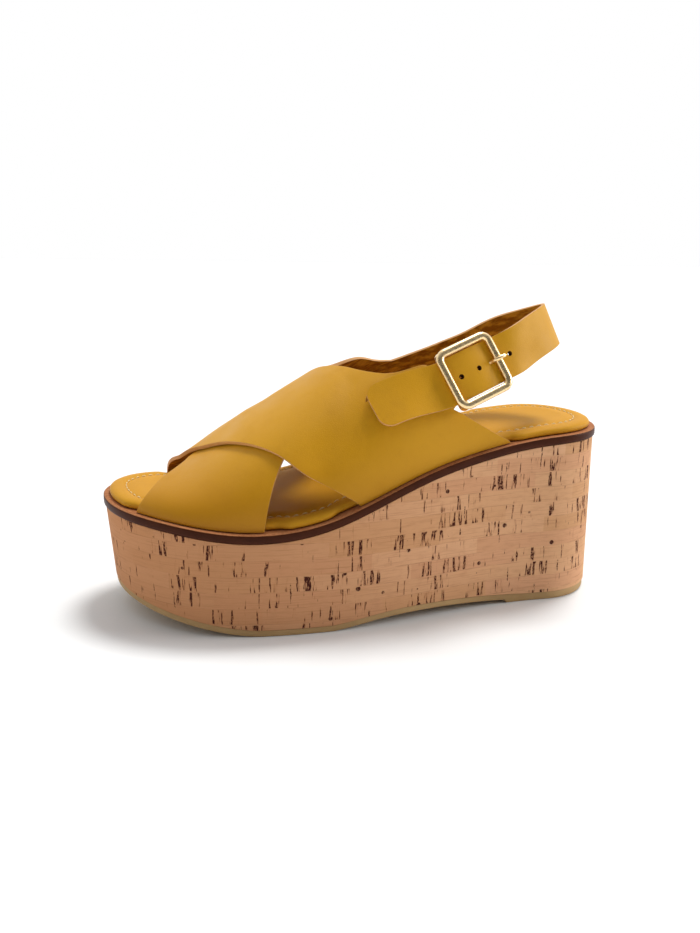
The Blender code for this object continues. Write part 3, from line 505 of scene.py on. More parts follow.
# Stations between which the insole draws in beside a strap's feet: at its quarter, then beside the toes
UPPER_FEET, LOWER_FEET = (0.424, 0.771, 0.117, 0.308), (0.424, 0.771, 0.055, 0.308)
FEET_BLEND, FEET_CLEAR = 0.025, 0.0009


def welt_top(x):
    """Top of the welt at x."""
    return deck(x) + GLUE_GAP + WELT_THICK


def insole_in(station, side):
    """Inset of the insole's edge: 2.2 mm, and 2.7 mm more along the straps' feet, with cubic steps
    FEET_BLEND of the sole long."""
    spans = (UPPER_FEET[:2], LOWER_FEET[2:]) if side < 0 else (LOWER_FEET[:2], UPPER_FEET[2:])
    reach = [smooth((np.minimum(station - front, rear - station) + FEET_BLEND) / FEET_BLEND)
             for front, rear in spans]
    return RIM_WIDTH - WELT_PROUD + (LEATHER + FEET_CLEAR) * np.maximum(*reach)


PAD = table("inset height",
            (0.0010, 0.0000), (0.0003, 0.0004), (0.0000, 0.0013), (0.0002, 0.0022), (0.0008, 0.0029),
            (0.0018, 0.0034), (0.0032, 0.0037), (0.0050, 0.0038), (0.0064, 0.00372), (0.0072, 0.00345),
            (0.0078, 0.0032), (0.0084, 0.0034), (0.0094, 0.0037), (0.0112, 0.0039), (0.0140, 0.00395))
pad_loops = moulded(zip(PAD["inset"], PAD["height"]), insole_in, lambda x: welt_top(x) + GLUE_GAP)


def dished(points, share):
    """A shallow dish under heel and ball: a parabola across the sole, deepest at stations 0.3 and 0.88, that
    fades where the grid's rows get short towards the tip and the back."""
    station = points[..., 0] / LENGTH + MIDDLE
    wide = smooth((np.ptp(points[..., 1], axis=1, keepdims=True) - 0.004) / 0.036)
    deep = np.exp(-((station - 0.30) / 0.13) ** 2) + np.exp(-((station - 0.88) / 0.10) ** 2)
    return -0.0007 * deep * wide * 4 * share * (1 - share)


footbed, shader, place = finish("footbed_leather", 0.55, Specular_IOR_Level=0.12)
cloud = noise(place, 30, 4, 0.6)
pore = noise(place, 1300, 4, 0.6)
wrinkle = noise(place, 210, 3, 0.6, (1, 2.2, 1))
base = covered(mixed(cloud, (196, 136, 22), (214, 158, 42)), (step(pore, 0.52, 0.75), 0.25, (168, 110, 22)))
plug(shader, {"Base Color": base, "Roughness": ranged(cloud, 0, 1, 0.48, 0.66)})
raise_surface(shader, plus(wrinkle, times(pore, 0.25)), 0.00012, 0.8)

insole = piece("footbed", *sheet_of_sole(pad_loops, 26, over=dished), [footbed], sharp=60)
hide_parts("insole")
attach(insole, "root")


def stitch_row(path, out, long, pitch, thick):
    """Row of stitches on a closed path: each is a spindle bowed in a parabola, whose radius is an ellipse
    along its length, set every pitch along the path and bedded at both ends. out is up at each point."""
    closed = np.concatenate([path, path[:1]])
    gone = walked(closed)
    count, sides = int(gone[-1] / pitch), 6
    centre = (np.arange(count) + 0.5) * gone[-1] / count
    share = np.linspace(-1, 1, 7)
    at = centre[:, None] + share * long / 2
    line = np.stack([np.interp(at, gone, closed[:, i]) for i in range(3)], axis=-1)
    rise = np.stack([np.interp(at, gone, np.append(out[:, i], out[0, i])) for i in range(3)], axis=-1)
    line = line + rise * (0.55 * thick * (1 - share[None, :, None] ** 2) - 0.12 * thick)
    run = unit(np.gradient(line, axis=1))
    rise = unit(rise)
    aside = unit(np.cross(run, rise))
    radius = thick / 2 * np.sqrt(np.clip(1.02 - share ** 2, 0.02, 1))[None, :, None, None]
    turn = np.arange(sides)[:, None] * 2 * np.pi / sides
    rings = line[:, :, None] + radius * (aside[:, :, None] * np.cos(turn) + rise[:, :, None] * np.sin(turn))
    index = np.arange(count * len(share) * sides).reshape(count, len(share), sides)
    ends = np.concatenate([index[:, 0, ::-1], index[:, -1]])
    return rings.reshape(-1, 3), quads_of(ringed(index)).tolist() + ends.tolist()


thread, shader, place = finish("stitch_thread", 0.6)
twist = noise(place, 4000, 2, 0.5)
plug(shader, {"Base Color": mixed(twist, (226, 196, 128), (250, 232, 184))})
raise_surface(shader, twist, 0.00005)

channel = loop(lambda station, side: insole_in(station, side) + CHANNEL_IN,
               lambda x: welt_top(x) + GLUE_GAP + CHANNEL_FLOOR + STITCH_UP)
stitches = piece("footbed_stitches", *stitch_row(channel, np.tile([0.0, 0.0, 1.0], (len(channel), 1)),
                                                 STITCH_LONG, STITCH_PITCH, STITCH_THICK), [thread], sharp=80)
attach(stitches, "root")

# Lower strap and sling. One cut of mustard leather, suede inside, drawn over the last from beside the lateral
# toes to the medial quarter. From there it runs round the heel as the sling, and through the buckle.

INSTEP_HEIGHT, RIDGE_ASIDE, LAST_POWER, FOOT_GAP = 0.0600, 0.095, 2.3, 0.00048
SLING_WIDTH, SLING_HEIGHT, FREE_END, FREE_CORNER = 0.0212, 0.0505, 0.0350, 0.0060
ROOT_BLEND = 0.030          # length over which the sling takes on its own width and slant
SLING_POINTS, TIP_POINTS = 260, 12
LEAN_AHEAD, LEAN_ASIDE = 0.16, 1.6      # the sling leans in to that station, and so much more to the middle
BUCKLE_BULGE, FREE_END_LIFT = 0.0019, 0.0013
BUCKLE_LENGTH, BUCKLE_BAR, BUCKLE_DEPTH = 0.0310, 0.0038, 0.0028
SPAN_ALONG = BUCKLE_LENGTH - BUCKLE_BAR
SPAN_ACROSS = SLING_WIDTH + 0.0010 + BUCKLE_BAR
SEAT_GAP, CROSSING_GAP, TAB_STATIONS = 0.00045, 0.0006, 0.018
FREE_END_TURN = 5.5         # degrees that the free end and the tab's leaf turn round the last
ROWS_BETWEEN, STRAP_COLUMNS = 10, 56
TAB_FIRST, TAB_LAST = 2, 4      # rows of a strap's table that the sling or the tab goes on from
TAB_ROWS = slice(TAB_FIRST * ROWS_BETWEEN, TAB_LAST * ROWS_BETWEEN + 1)
TAB_SHARE = np.linspace(-1, 1, (TAB_LAST - TAB_FIRST) * ROWS_BETWEEN + 1)
STRAP_AXIS = (0.008, 0.060)     # y and z of a line through the inside of the upper
HOLE_PITCH, HOLE_SIZE, HOLE_INNER, HOLES_FROM = 0.0095, 0.0024, 0.36, 0.0018
PRONG_HOLE_AT, PRONG_HOLE_LONG, PRONG_HOLE_WIDE, PRONG_HOLE_INNER = 0.842, 0.0046, 0.0026, 0.8
PUNCH_REACH = 1.6           # length of a punch, in walls
EDGE_FINISH, LINING_FINISH, HOLE_FINISH = 1, 2, 3       # places in a strap's list of finishes
RIDGE = table("station height",
              (0.00, 0.06), (0.10, 0.205), (0.165, 0.315), (0.25, 0.56), (0.35, 0.78), (0.45, 0.91),
              (0.55, 0.99), (0.65, 1.035), (0.80, 1.06))
LOWER_STRAP = table("front_station front_round rear_station rear_round",
                    (0.459, 0, 0.771, 0), (0.424, 6, 0.718, 7), (0.385, 15, 0.660, 18),
                    (0.350, 27, 0.628, 29), (0.322, 36, 0.604, 38.5), (0.300, 43, 0.564, 45),
                    (0.279, 52, 0.524, 56), (0.250, 64, 0.477, 65), (0.212, 76, 0.451, 77),
                    (0.165, 90, 0.432, 92.5), (0.122, 106, 0.402, 110), (0.096, 122, 0.360, 127),
                    (0.070, 150, 0.308, 152), (0.055, 180, 0.282, 180))
UPPER_STRAP = table("front_station front_round rear_station rear_round",
                    (0.459, 0, 0.771, 0), (0.425, 7.3, 0.716, 7), (0.386, 16.8, 0.646, 19),
                    (0.355, 25.5, 0.618, 31), (0.328, 36, 0.604, 44), (0.310, 43, 0.588, 46.5),
                    (0.286, 52, 0.539, 50.5), (0.256, 64, 0.499, 61), (0.225, 77.5, 0.469, 74.5),
                    (0.189, 90, 0.438, 89.5), (0.156, 103, 0.403, 107.5), (0.137, 121, 0.360, 127),
                    (0.122, 148, 0.308, 152), (0.117, 180, 0.282, 180))
SLING = table("station aside height lean",
              (0.770, 0.730, 0.675, 19), (0.824, 0.590, 0.822, 25), (0.872, 0.340, 0.915, 25),
              (0.900, 0.000, 0.981, 26), (0.872, -0.335, 0.955, 25), (0.824, -0.575, 0.872, 16),
              (0.770, -0.770, 0.760, 20))


def last(station, round_):
    """The last under the straps: at each station a superellipse from the foot of the straps on the welt to
    the ridge, whose height follows RIDGE. round_ is the angle about it, 0 lateral, 180 medial."""
    angle = np.radians(np.where(round_ <= 90, round_, 180 - round_))
    foot_in = RIM_WIDTH - WELT_PROUD + LEATHER
    lateral, medial = outline(station, -1, foot_in), outline(station, 1, foot_in)
    foot_x = np.where(round_ <= 90, lateral[0], medial[0])
    foot_y = np.where(round_ <= 90, lateral[1], medial[1])
    foot_z = welt_top(foot_x) + FOOT_GAP
    ridge_x, ridge_y = (station - MIDDLE) * LENGTH, RIDGE_ASIDE * BALL_WIDTH
    ridge_z = welt_top(ridge_x) + INSTEP_HEIGHT * spline(RIDGE["station"], RIDGE["height"], station)
    aside, aloft = (np.clip(turned, 0, 1) ** (2 / LAST_POWER) for turned in (np.cos(angle), np.sin(angle)))
    return np.stack([ridge_x + (foot_x - ridge_x) * aside, ridge_y + (foot_y - ridge_y) * aside,
                     foot_z + (ridge_z - foot_z) * aloft], axis=-1)


def last_out(station, round_):
    """Outward normal of the last, from differences along it and about it."""
    station, round_ = np.broadcast_arrays(np.asarray(station, float), np.asarray(round_, float))
    along = last(station + 0.002, round_) - last(station - 0.002, round_)
    about = last(station, np.clip(round_ + 1, 0, 180)) - last(station, np.clip(round_ - 1, 0, 180))
    return unit(np.cross(along, about))


def on_last(station, round_, offset):
    """Point at that height over the last, along its normal."""
    return last(station, round_) + last_out(station, round_) * np.expand_dims(offset, -1)


def strap_edge(strap, edge, rows):
    """Station and round along one edge of a strap: one spline in front, and three behind, with corners where
    the sling or the tab goes on."""
    points = np.stack([strap[edge + "_station"], strap[edge + "_round"]], axis=1)
    index = np.arange(len(points), dtype=float)
    if edge == "front":
        return spline(index, points, rows)
    result = np.zeros((len(rows), 2))
    for first, final in ((0, TAB_FIRST), (TAB_FIRST, TAB_LAST), (TAB_LAST, len(points) - 1)):
        part = (rows >= first) & (rows <= final)
        result[part] = spline(index[first:final + 1], points[first:final + 1], rows[part])
    return result


def strap_grid(strap):
    """Station and round over the strap: straight between its edges in each row."""
    count = len(strap["front_station"])
    rows = np.linspace(0, count - 1, (count - 1) * ROWS_BETWEEN + 1)
    share = np.linspace(0, 1, STRAP_COLUMNS + 1)[None, :, None]
    front, rear = (strap_edge(strap, edge, rows)[:, None] for edge in ("front", "rear"))
    grid = front * (1 - share) + rear * share
    return grid[..., 0], grid[..., 1]


# Soft creases pressed by wear and by the last: where each lies as station and round, the way it runs in
# degrees from the shoe's length, its half length and half width in metres, and how deep it is
CREASES = table("station round turn long wide deep",
                (0.500, 72, 60, 0.022, 0.0075, 0.00055), (0.462, 56, 68, 0.018, 0.0060, 0.00040),
                (0.545, 44, 38, 0.017, 0.0055, 0.00050), (0.250, 84, 78, 0.020, 0.0070, 0.00045),
                (0.318, 96, 80, 0.022, 0.0080, 0.00040), (0.585, 24, 18, 0.016, 0.0050, 0.00035),
                (0.440, 112, -60, 0.020, 0.0070, 0.00050), (0.530, 130, -36, 0.016, 0.0050, 0.00050),
                (0.235, 44, 58, 0.018, 0.0070, 0.00035), (0.400, 30, 40, 0.024, 0.0085, 0.00040),
                (0.575, 148, -18, 0.014, 0.0045, 0.00040), (0.345, 128, -66, 0.020, 0.0070, 0.00035))


def creases(points):
    """Soft troughs with a low ridge on each side: along each crease's own line the depth falls off as a bell
    of its half length, and across it as a bell less half of one twice as wide."""
    lift = np.zeros(points.shape[:-1])
    for station, round_, turn, long, wide, deep in zip(*CREASES.values()):
        out = last_out(station, round_)
        about = unit(np.cross(out, [1.0, 0, 0]))
        run = np.cos(np.radians(turn)) * np.cross(about, out) + np.sin(np.radians(turn)) * about
        away = points - last(station, round_)
        across = away @ np.cross(out, run) / wide
        near = np.exp(-((away @ run) / long) ** 2) * np.exp(-((away @ out) / 0.02) ** 2)
        lift -= 2 * deep * (np.exp(-across ** 2) - 0.5 * np.exp(-across ** 2 / 4)) * near
    return lift


def strap_sheet(station, round_, offset):
    """Middle of a strap: its offset over the last, and the creases, which fade towards the strap's edges."""
    share = np.linspace(0, 1, station.shape[1])
    fade = smooth(np.minimum(share, 1 - share) / 0.16) * 0.85 + 0.15
    return on_last(station, round_, offset + creases(last(station, round_)) * fade)


def quarter_end(strap):
    """Station and round in the middle of the quarter's end."""
    return strap_edge(strap, "rear", np.array([(TAB_FIRST + TAB_LAST) / 2]))[0]


def buckle_axes():
    """Middle of the strap under the buckle's left bar, and the ways along, across and out of the buckle."""
    station, round_ = quarter_end(UPPER_STRAP)
    seat = on_last(station + TAB_STATIONS, round_, LEATHER * 1.5 + SEAT_GAP)
    along = unit(sling_rows()[0][-1] - seat)
    out = last_out(station + TAB_STATIONS, round_)
    out = unit(out - along * (out @ along))
    return seat, along, np.cross(out, along), out


def sling_rows():
    """Middle of the sling at each row of SLING, and the way across it there, leaning in by its lean."""
    back_y = HEEL_ASIDE * HEEL_WIDTH
    x = (SLING["station"] - MIDDLE) * LENGTH
    y = back_y + SLING["aside"] * HEEL_WIDTH / 2
    z = welt_top((1 - MIDDLE) * LENGTH) + SLING_HEIGHT * SLING["height"]
    lean = np.radians(SLING["lean"])[:, None]
    level = unit(np.stack([LEAN_AHEAD * LENGTH - x, (back_y - y) * LEAN_ASIDE, 0 * x], axis=1))
    return np.stack([x, y, z], axis=1), level * np.sin(lean) + np.array([0, 0, 1.0]) * np.cos(lean)


def root_corners():
    """Lower and upper corner of the sling's root on the medial quarter."""
    ends = strap_edge(LOWER_STRAP, "rear", np.array([TAB_FIRST, TAB_LAST], float))
    return on_last(ends[:, 0], 180 - ends[:, 1], np.full(2, LEATHER / 2))


def sling_path():
    """Middle of the sling from its root through the rows of SLING and the buckle to the tip of its free end,
    and the way across it at each of these points."""
    seat, along, across, out = buckle_axes()
    station, round_ = quarter_end(LOWER_STRAP)
    low, high = root_corners()
    rows, row_ways = sling_rows()
    points, ways = [on_last(station, 180 - round_, LEATHER / 2), *rows], [unit(high - low), *row_ways]
    for share, bulge in ((1.0, 0.0), (0.72, 0.8), (0.47, 1.0), (0.22, 0.6), (0.0, 0.0)):     # in the buckle
        points.append(seat + along * SPAN_ALONG * share + out * BUCKLE_BULGE * bulge)
        ways.append(across)
    root, start = quarter_end(UPPER_STRAP)
    for share in (0.5, 1.0):
        station, round_ = root + TAB_STATIONS - share * FREE_END / LENGTH, start + FREE_END_TURN * share
        points.append(on_last(station, round_, LEATHER * 1.5 + SEAT_GAP + FREE_END_LIFT * share))
        ways.append(unit(on_last(station, round_ + 5, 0.0) - on_last(station, round_ - 5, 0.0)))
    return np.array(points), np.array(ways)


def strip_across(middle, way, half):
    """Grid of a strip: at each point of its middle a straight line along way, half long to each side."""
    return middle[None] + way * half[None, :, None] * TAB_SHARE[:, None, None]


def sling_strip():
    """The sling as a grid: a straight line across at each point of its path, SLING_WIDTH long, wider at the
    root, where it starts on the quarter's slanted and bowed end, and with quarter circles at the tip."""
    points, ways = sling_path()
    gone = walked(points)
    corner = gone[-1] - FREE_CORNER * (1 - np.sin(np.linspace(0, np.pi / 2, TIP_POINTS)))
    fine = np.linspace(0, gone[-1], SLING_POINTS)[1:]
    at = np.concatenate([fine[fine < corner[0] - 0.0005], corner])
    middle = spline(gone, points, at)
    run = unit(spline(gone, points, at + 1e-4) - spline(gone, points, at - 1e-4))
    way = spline(gone, ways, at)
    own = smooth(at / ROOT_BLEND)
    way = unit(way - own[:, None] * run * np.sum(way * run, axis=1, keepdims=True))
    root_half = np.linalg.norm(np.diff(root_corners(), axis=0)) / 2
    half = SLING_WIDTH / 2 + (root_half - SLING_WIDTH / 2) * (1 - own)
    left = np.clip((at - corner[0]) / FREE_CORNER, 0, 1)
    half = half - FREE_CORNER * (1 - np.sqrt(1 - left ** 2))
    edge = strap_edge(LOWER_STRAP, "rear", (TAB_FIRST + TAB_LAST + TAB_SHARE * (TAB_LAST - TAB_FIRST)) / 2)
    root = on_last(edge[:, 0], 180 - edge[:, 1], np.full(len(TAB_SHARE), LEATHER / 2))
    bow = root - points[0] - ways[0] * root_half * TAB_SHARE[:, None]
    return strip_across(middle, way, half) + bow[:, None] * (1 - own)[None, :, None]


def joined_sheet(band, strip):
    """Points, quads and a UV map in metres of a strap's grid, with the strip that goes on from the tab rows
    of its rear edge. u is the length walked across the strap and on along the strip, v round the foot."""
    count, columns = band.shape[:2]
    index = np.arange(count * columns).reshape(count, columns)
    far = count * columns + np.arange(strip.shape[0] * strip.shape[1]).reshape(strip.shape[:2])
    far = np.concatenate([index[TAB_ROWS, -1:], far], axis=1)
    quads = np.concatenate([quads_of(index), quads_of(far)])[:, [0, 3, 2, 1]]
    across = walked(band, 1)
    about = np.repeat(walked(band[:, columns // 2])[:, None], columns, axis=1)
    on = across[TAB_ROWS, -1:] + walked(np.concatenate([band[TAB_ROWS, -1:], strip], axis=1), 1)[:, 1:]
    maps = (across, about), (on, np.repeat(about[TAB_ROWS, :1], on.shape[1], axis=1))
    uv = np.concatenate([np.stack(pair, axis=-1).reshape(-1, 2) for pair in maps])
    return np.concatenate([band.reshape(-1, 3), strip.reshape(-1, 3)]), quads, uv


def worked(target, operation, others, sharp):
    """Cuts the others out of the target or joins them to it, and applies all its modifiers. The others, which
    were only tools, are removed."""
    for other in others:
        change = target.modifiers.new(other.name, "BOOLEAN")
        change.operation, change.solver, change.object = operation, "EXACT", other
    done = bpy.data.meshes.new_from_object(target.evaluated_get(bpy.context.evaluated_depsgraph_get()))
    target.modifiers.clear()
    target.data = done
    for other in others:
        bpy.data.objects.remove(other)
    done.shade_smooth()
    done.set_sharp_from_angle(angle=np.radians(sharp))


def strap_piece(name, points, quads, uv, cutters):
    """Strap with a wall: the sheet is turned so that it faces away from STRAP_AXIS, gets LEATHER of thickness
    by Solidify and rounded edges by Bevel, and its cutters are cut out. Its faces take the first finish
    outside, the second on the cut and bevelled edges and the third inside."""
    corners = points[quads[len(quads) // 4]]
    outward = corners[0] - [corners[0][0], *STRAP_AXIS]
    facing = np.cross(corners[1] - corners[0], corners[3] - corners[0]) @ outward
    quads = quads if facing > 0 else quads[:, ::-1]
    made = piece(name, points, quads.tolist(), strap_finishes, closed=False)
    made.data.uv_layers.new(name="cut").data.foreach_set("uv", uv[corners_of(made.data)].ravel())
    wall = made.modifiers.new("wall", "SOLIDIFY")
    wall.thickness, wall.offset = LEATHER, 0
    wall.material_offset, wall.material_offset_rim = LINING_FINISH, EDGE_FINISH
    soft = made.modifiers.new("soft_edge", "BEVEL")
    soft.width, soft.segments, soft.limit_method, soft.angle_limit = 0.00040, 3, "ANGLE", np.radians(60)
    soft.material = EDGE_FINISH
    worked(made, "DIFFERENCE", cutters, 50)
    return made


def carried(path, way, profile, closed=False):
    """A profile (aside, along way) carried along a path that lies across way, with flat ends if it's open."""
    run = np.roll(path, -1, axis=0) - np.roll(path, 1, axis=0) if closed else np.gradient(path, axis=0)
    aside = np.cross(unit(run), way)
    rings = path[:, None] + aside[:, None] * profile[None, :, :1] + way * profile[None, :, 1:]
    index = np.arange(len(path) * len(profile)).reshape(len(path), len(profile))
    quads = quads_of(ringed(np.concatenate([index, index[:1]]) if closed else index)).tolist()
    ends = [] if closed else [index[0].tolist(), index[-1, ::-1].tolist()]
    return rings.reshape(-1, 3), quads + ends


def oval(width, depth, sides):
    """Ellipse of that width and depth."""
    angle = (np.arange(sides) + 0.5) * 2 * np.pi / sides
    return np.stack([np.cos(angle) * width / 2, np.sin(angle) * depth / 2], axis=1)


def cutter(name, points, faces, number):
    """Closed shape to be cut out of a strap, whose walls take that one of the strap's finishes."""
    made = piece(name, points, faces, strap_finishes)
    made.data.polygons.foreach_set("material_index", np.full(len(made.data.polygons), number))
    return made


def hole_cutter(name, centre, along, out, long, wide, inner):
    """Oval punch through a strap, PUNCH_REACH walls long. It is long by wide where it meets the outside and
    closes in evenly to the share inner of that inside."""
    path = np.array([centre - out * LEATHER / 2, centre + out * LEATHER / 2])
    points, faces = carried(path, np.cross(out, along), oval(long, wide, 28))
    away = points - centre
    deep = (away @ out)[:, None]
    aside = away - deep * out
    taper = (1 + inner) / 2 + (1 - inner) * PUNCH_REACH * deep / LEATHER
    return cutter(name, centre + deep * out * PUNCH_REACH + aside * taper, faces, HOLE_FINISH)


leather, shader, place = finish("strap_leather", 0.48, Specular_IOR_Level=0.22)
blush = noise(place, 70, 4, 0.62)
grain = noise(place, 700, 4, 0.6)
pore = node("TexVoronoi", {"Vector": place, "Scale": 1500.0}, feature="DISTANCE_TO_EDGE").outputs["Distance"]
# The last layer is painted shade: the leather gets darker towards the feet by height, where less light falls.
base = covered(mixed(noise(place, 16, 4, 0.6), (202, 142, 16), (220, 162, 28)),
               (step(blush, 0.5, 0.8), 0.22, (180, 122, 14)),
               (step(grain, 0.55, 0.8), 0.14, (168, 110, 12)),
               (step(axes(place)[2], 0.086, 0.048), 0.65, (174, 112, 4)))       # deeper towards the feet
plug(shader, {"Base Color": base, "Roughness": ranged(blush, 0.3, 0.7, 0.40, 0.54)})
raise_surface(shader, plus(step(pore, 0.0, 0.25), times(grain, 1.2)), 0.00005, 0.6)

raw_edge, shader, place = finish("strap_cut_edge", 0.6, Specular_IOR_Level=0.3)
fibre = noise(place, 1800, 4, 0.7)
plug(shader, {"Base Color": mixed(fibre, (190, 132, 68), (226, 174, 110))})
raise_surface(shader, fibre, 0.00008)

suede, shader, place = finish("strap_suede_lining", 0.95, Specular_IOR_Level=0.1)
cut = node("UVMap", tree=shader.id_data, uv_map="cut").outputs[0]
brushed = noise(cut, 130, 3, 0.6, (1.0, 3.4, 1.0), 0.7)
nap = noise(place, 2600, 3, 0.7)
base = mixed(step(brushed, 0.38, 0.66), (142, 86, 10), (206, 144, 40))
plug(shader, {"Base Color": covered(base, (nap, 0.3, (96, 52, 4)))})
raise_surface(shader, plus(brushed, nap), 0.00018)

# Hole walls: painted shade, near black with a noise, for the shade deep inside the punched holes.
punched, shader, place = finish("strap_punched_hole", 0.9, Specular_IOR_Level=0.1)
hole_shade_noise = noise(place, 2400, 3, 0.6)
plug(shader, {"Base Color": mixed(hole_shade_noise, (34, 14, 4), (78, 42, 14))})
raise_surface(shader, hole_shade_noise, 0.00008)

strap_finishes = [leather, raw_edge, suede, punched]
seat, along, across, out = buckle_axes()
punches = [hole_cutter("prong_hole", seat + along * SPAN_ALONG * PRONG_HOLE_AT, along, out,
                       PRONG_HOLE_LONG, PRONG_HOLE_WIDE, PRONG_HOLE_INNER)]
path, ways = sling_path()
gone = walked(path)
right_bar = gone[1 + len(SLING["station"])]
for number in (-1, 1, 2):
    at = right_bar + HOLES_FROM + number * HOLE_PITCH
    spot, after = spline(gone, path, np.array([at, at + 1e-4]))
    run = unit(after - spot)
    way = spline(gone, ways, np.array([at]))[0]
    outward = unit(np.cross(way, run))
    punches.append(hole_cutter("strap_hole", spot, run, outward, HOLE_SIZE, HOLE_SIZE, HOLE_INNER))

station, round_ = strap_grid(LOWER_STRAP)
band = strap_sheet(station, 180 - round_, np.full(station.shape, LEATHER / 2))
lower_strap = strap_piece("lower_strap_and_sling", *joined_sheet(band, sling_strip()), punches)
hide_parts("upper")
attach(lower_strap, "root")

# Upper strap. The same leather, laid over the lower strap from beside the medial toes to the lateral quarter
# and glued to it at the crossing. Its end is folded round the buckle's under-bar and lies back inside.

UNDER_BAR, PRONG, UNDER_BAR_SHIFT, INNER_LEAF, BAR_GAP = 0.0030, 0.0018, 0.0034, 0.0360, 0.0003
LIFT_FADE = 0.105
TAB_BACK, TAB_NARROWER, LEAF_CLEAR = 0.0032, 0.0006, 0.0012
SLOT_BEHIND, SLOT_AHEAD, SLOT_DEEP, SLOT_CLEAR = 0.0052, 0.0060, 0.0045, 0.00045
# The tab's inner leaf: shares of its length, and how much of its corner is gone there
LEAF = table("share drop",
             (0.28, 0), (0.40, 0), (0.52, 0), (0.64, 0), (0.76, 0), (0.85, 0.03), (0.9, 0.08), (0.94, 0.2),
             (0.97, 0.4), (0.99, 0.66), (1.0, 0.95))


def crossing_lift(station, round_):
    """How far the upper strap rides over the lower one: one thickness and a gap on top of it, fading by a
    cubic step over LIFT_FADE of the sole past its edges."""
    rows = np.linspace(0, len(LOWER_STRAP["front_station"]) - 1, 200)
    front, rear = strap_edge(LOWER_STRAP, "front", rows), strap_edge(LOWER_STRAP, "rear", rows)
    ahead = np.interp(180 - round_, front[:, 1], front[:, 0]) - station
    behind = station - np.interp(180 - round_, rear[:, 1], rear[:, 0])
    outside = np.maximum(np.maximum(ahead, behind), 0)
    return (LEATHER + CROSSING_GAP) * (1 - smooth(outside / LIFT_FADE))


def under_bar_deep():
    """Axis of the under-bar below the middle of the strap."""
    return LEATHER * 1.5 + SEAT_GAP + BAR_GAP + UNDER_BAR / 2


def tab_strip():
    """The tab as a grid: out from the quarter, half round the under-bar on a circle, and back along the
    quarter's inside, with rounded corners at its end."""
    root, start = quarter_end(UPPER_STRAP)
    turn = LEATHER / 2 + BAR_GAP + UNDER_BAR / 2
    axis = seat + along * UNDER_BAR_SHIFT - out * (LEATHER + SEAT_GAP + turn)
    angle = np.radians(np.linspace(90, -90, 19))[:, None]
    share = LEAF["share"]
    leaf = on_last(root + TAB_STATIONS - share * INNER_LEAF / LENGTH, start + FREE_END_TURN * share,
                   -(LEATHER / 2 + BAR_GAP) - LEAF_CLEAR * (1 - share))
    points = np.concatenate([[axis + out * turn - along * TAB_BACK],
                             axis + turn * (along * np.cos(angle) + out * np.sin(angle)), leaf])
    half = np.full(len(points), SLING_WIDTH / 2 - TAB_NARROWER)
    half[0] = half[0] * 0.6 + np.linalg.norm(np.diff(root_corners(), axis=0)) / 2 * 0.4
    half[-len(share):] -= FREE_CORNER * LEAF["drop"]
    return strip_across(points, across, half)


low, high = -under_bar_deep() - SLOT_DEEP, -LEATHER / 2 - 0.00015
slot_path = np.array([seat + along * reach + out * (low + high) / 2
                      for reach in (UNDER_BAR_SHIFT - SLOT_BEHIND, UNDER_BAR_SHIFT + SLOT_AHEAD)])
tab_slot = cutter("tab_slot", *carried(slot_path, across, np.array([(-1, -1), (1, -1), (1, 1), (-1, 1)])
                                       * [(high - low) / 2, PRONG / 2 + SLOT_CLEAR]), EDGE_FINISH)

station, round_ = strap_grid(UPPER_STRAP)
band = strap_sheet(station, round_, LEATHER / 2 + crossing_lift(station, round_))
upper_strap = strap_piece("upper_strap_and_tab", *joined_sheet(band, tab_strip()), [tab_slot])
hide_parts("upper")
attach(upper_strap, "root")

# Buckle. A square frame of polished pale-gold metal with round corners. A round bar is bent down from its
# side bars under the strap, where the tab holds it and the prong turns on it.

BUCKLE_CORNER, CORNER_POINTS = 0.0038, 13
frame_height = LEATHER / 2 + BAR_GAP + BUCKLE_DEPTH / 2

metal, shader, place = finish("buckle_metal", 0.2, 1.0)
scratch = noise(place, 300, 3, 0.7, (1.0, 9.0, 3.0), 0.4)
plug(shader, {"Base Color": mixed(noise(place, 420, 5, 0.7), (242, 204, 142), (254, 232, 188)),
              "Roughness": ranged(scratch, 0.3, 0.75, 0.22, 0.38)})
raise_surface(shader, scratch, 0.00002, 0.5)

angle = np.radians(np.concatenate([np.linspace(0, 90, CORNER_POINTS) + 90 * turn for turn in range(4)]))
side_x, side_y = np.repeat([(1, -1, -1, 1), (1, 1, -1, -1)], CORNER_POINTS, axis=1)
ring_x = side_x * (SPAN_ALONG / 2 - BUCKLE_CORNER) + BUCKLE_CORNER * np.cos(angle)
ring_y = side_y * (SPAN_ACROSS / 2 - BUCKLE_CORNER) + BUCKLE_CORNER * np.sin(angle)
ring = seat + along * SPAN_ALONG / 2 + out * frame_height + along * ring_x[:, None] + across * ring_y[:, None]
buckle = piece("buckle_frame_metal", *carried(ring, out, oval(BUCKLE_BAR, BUCKLE_DEPTH, 32), True), [metal],
               sharp=70)

reach, top, low, bend = SPAN_ACROSS / 2, frame_height, -under_bar_deep(), 0.0016
quarter = np.radians(np.linspace(0, 90, 10))
arm = np.concatenate([[(reach, top), (reach, low + bend + 0.0014)],
                      np.stack([reach - bend + bend * np.cos(quarter),
                                low + bend - bend * np.sin(quarter)], axis=1)])
bar_path = np.concatenate([arm, arm[::-1] * [-1, 1]])
bar_path = seat + along * UNDER_BAR_SHIFT + across * bar_path[:, :1] + out * bar_path[:, 1:]
under_bar = piece("under_bar", *carried(bar_path, along, oval(UNDER_BAR, UNDER_BAR, 20)), [metal], sharp=70)
worked(buckle, "UNION", [under_bar], 45)
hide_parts("buckle_frame")
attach(buckle, "root")

# Prong. A bent pin of the same metal: hooked round the under-bar, under the strap, out through its hole and
# down over the frame's right bar.

hook = UNDER_BAR / 2 + BAR_GAP + PRONG / 2
turn = np.radians(np.linspace(-80, -250, 12))
rest = frame_height + BUCKLE_DEPTH / 2 + BAR_GAP + PRONG / 2
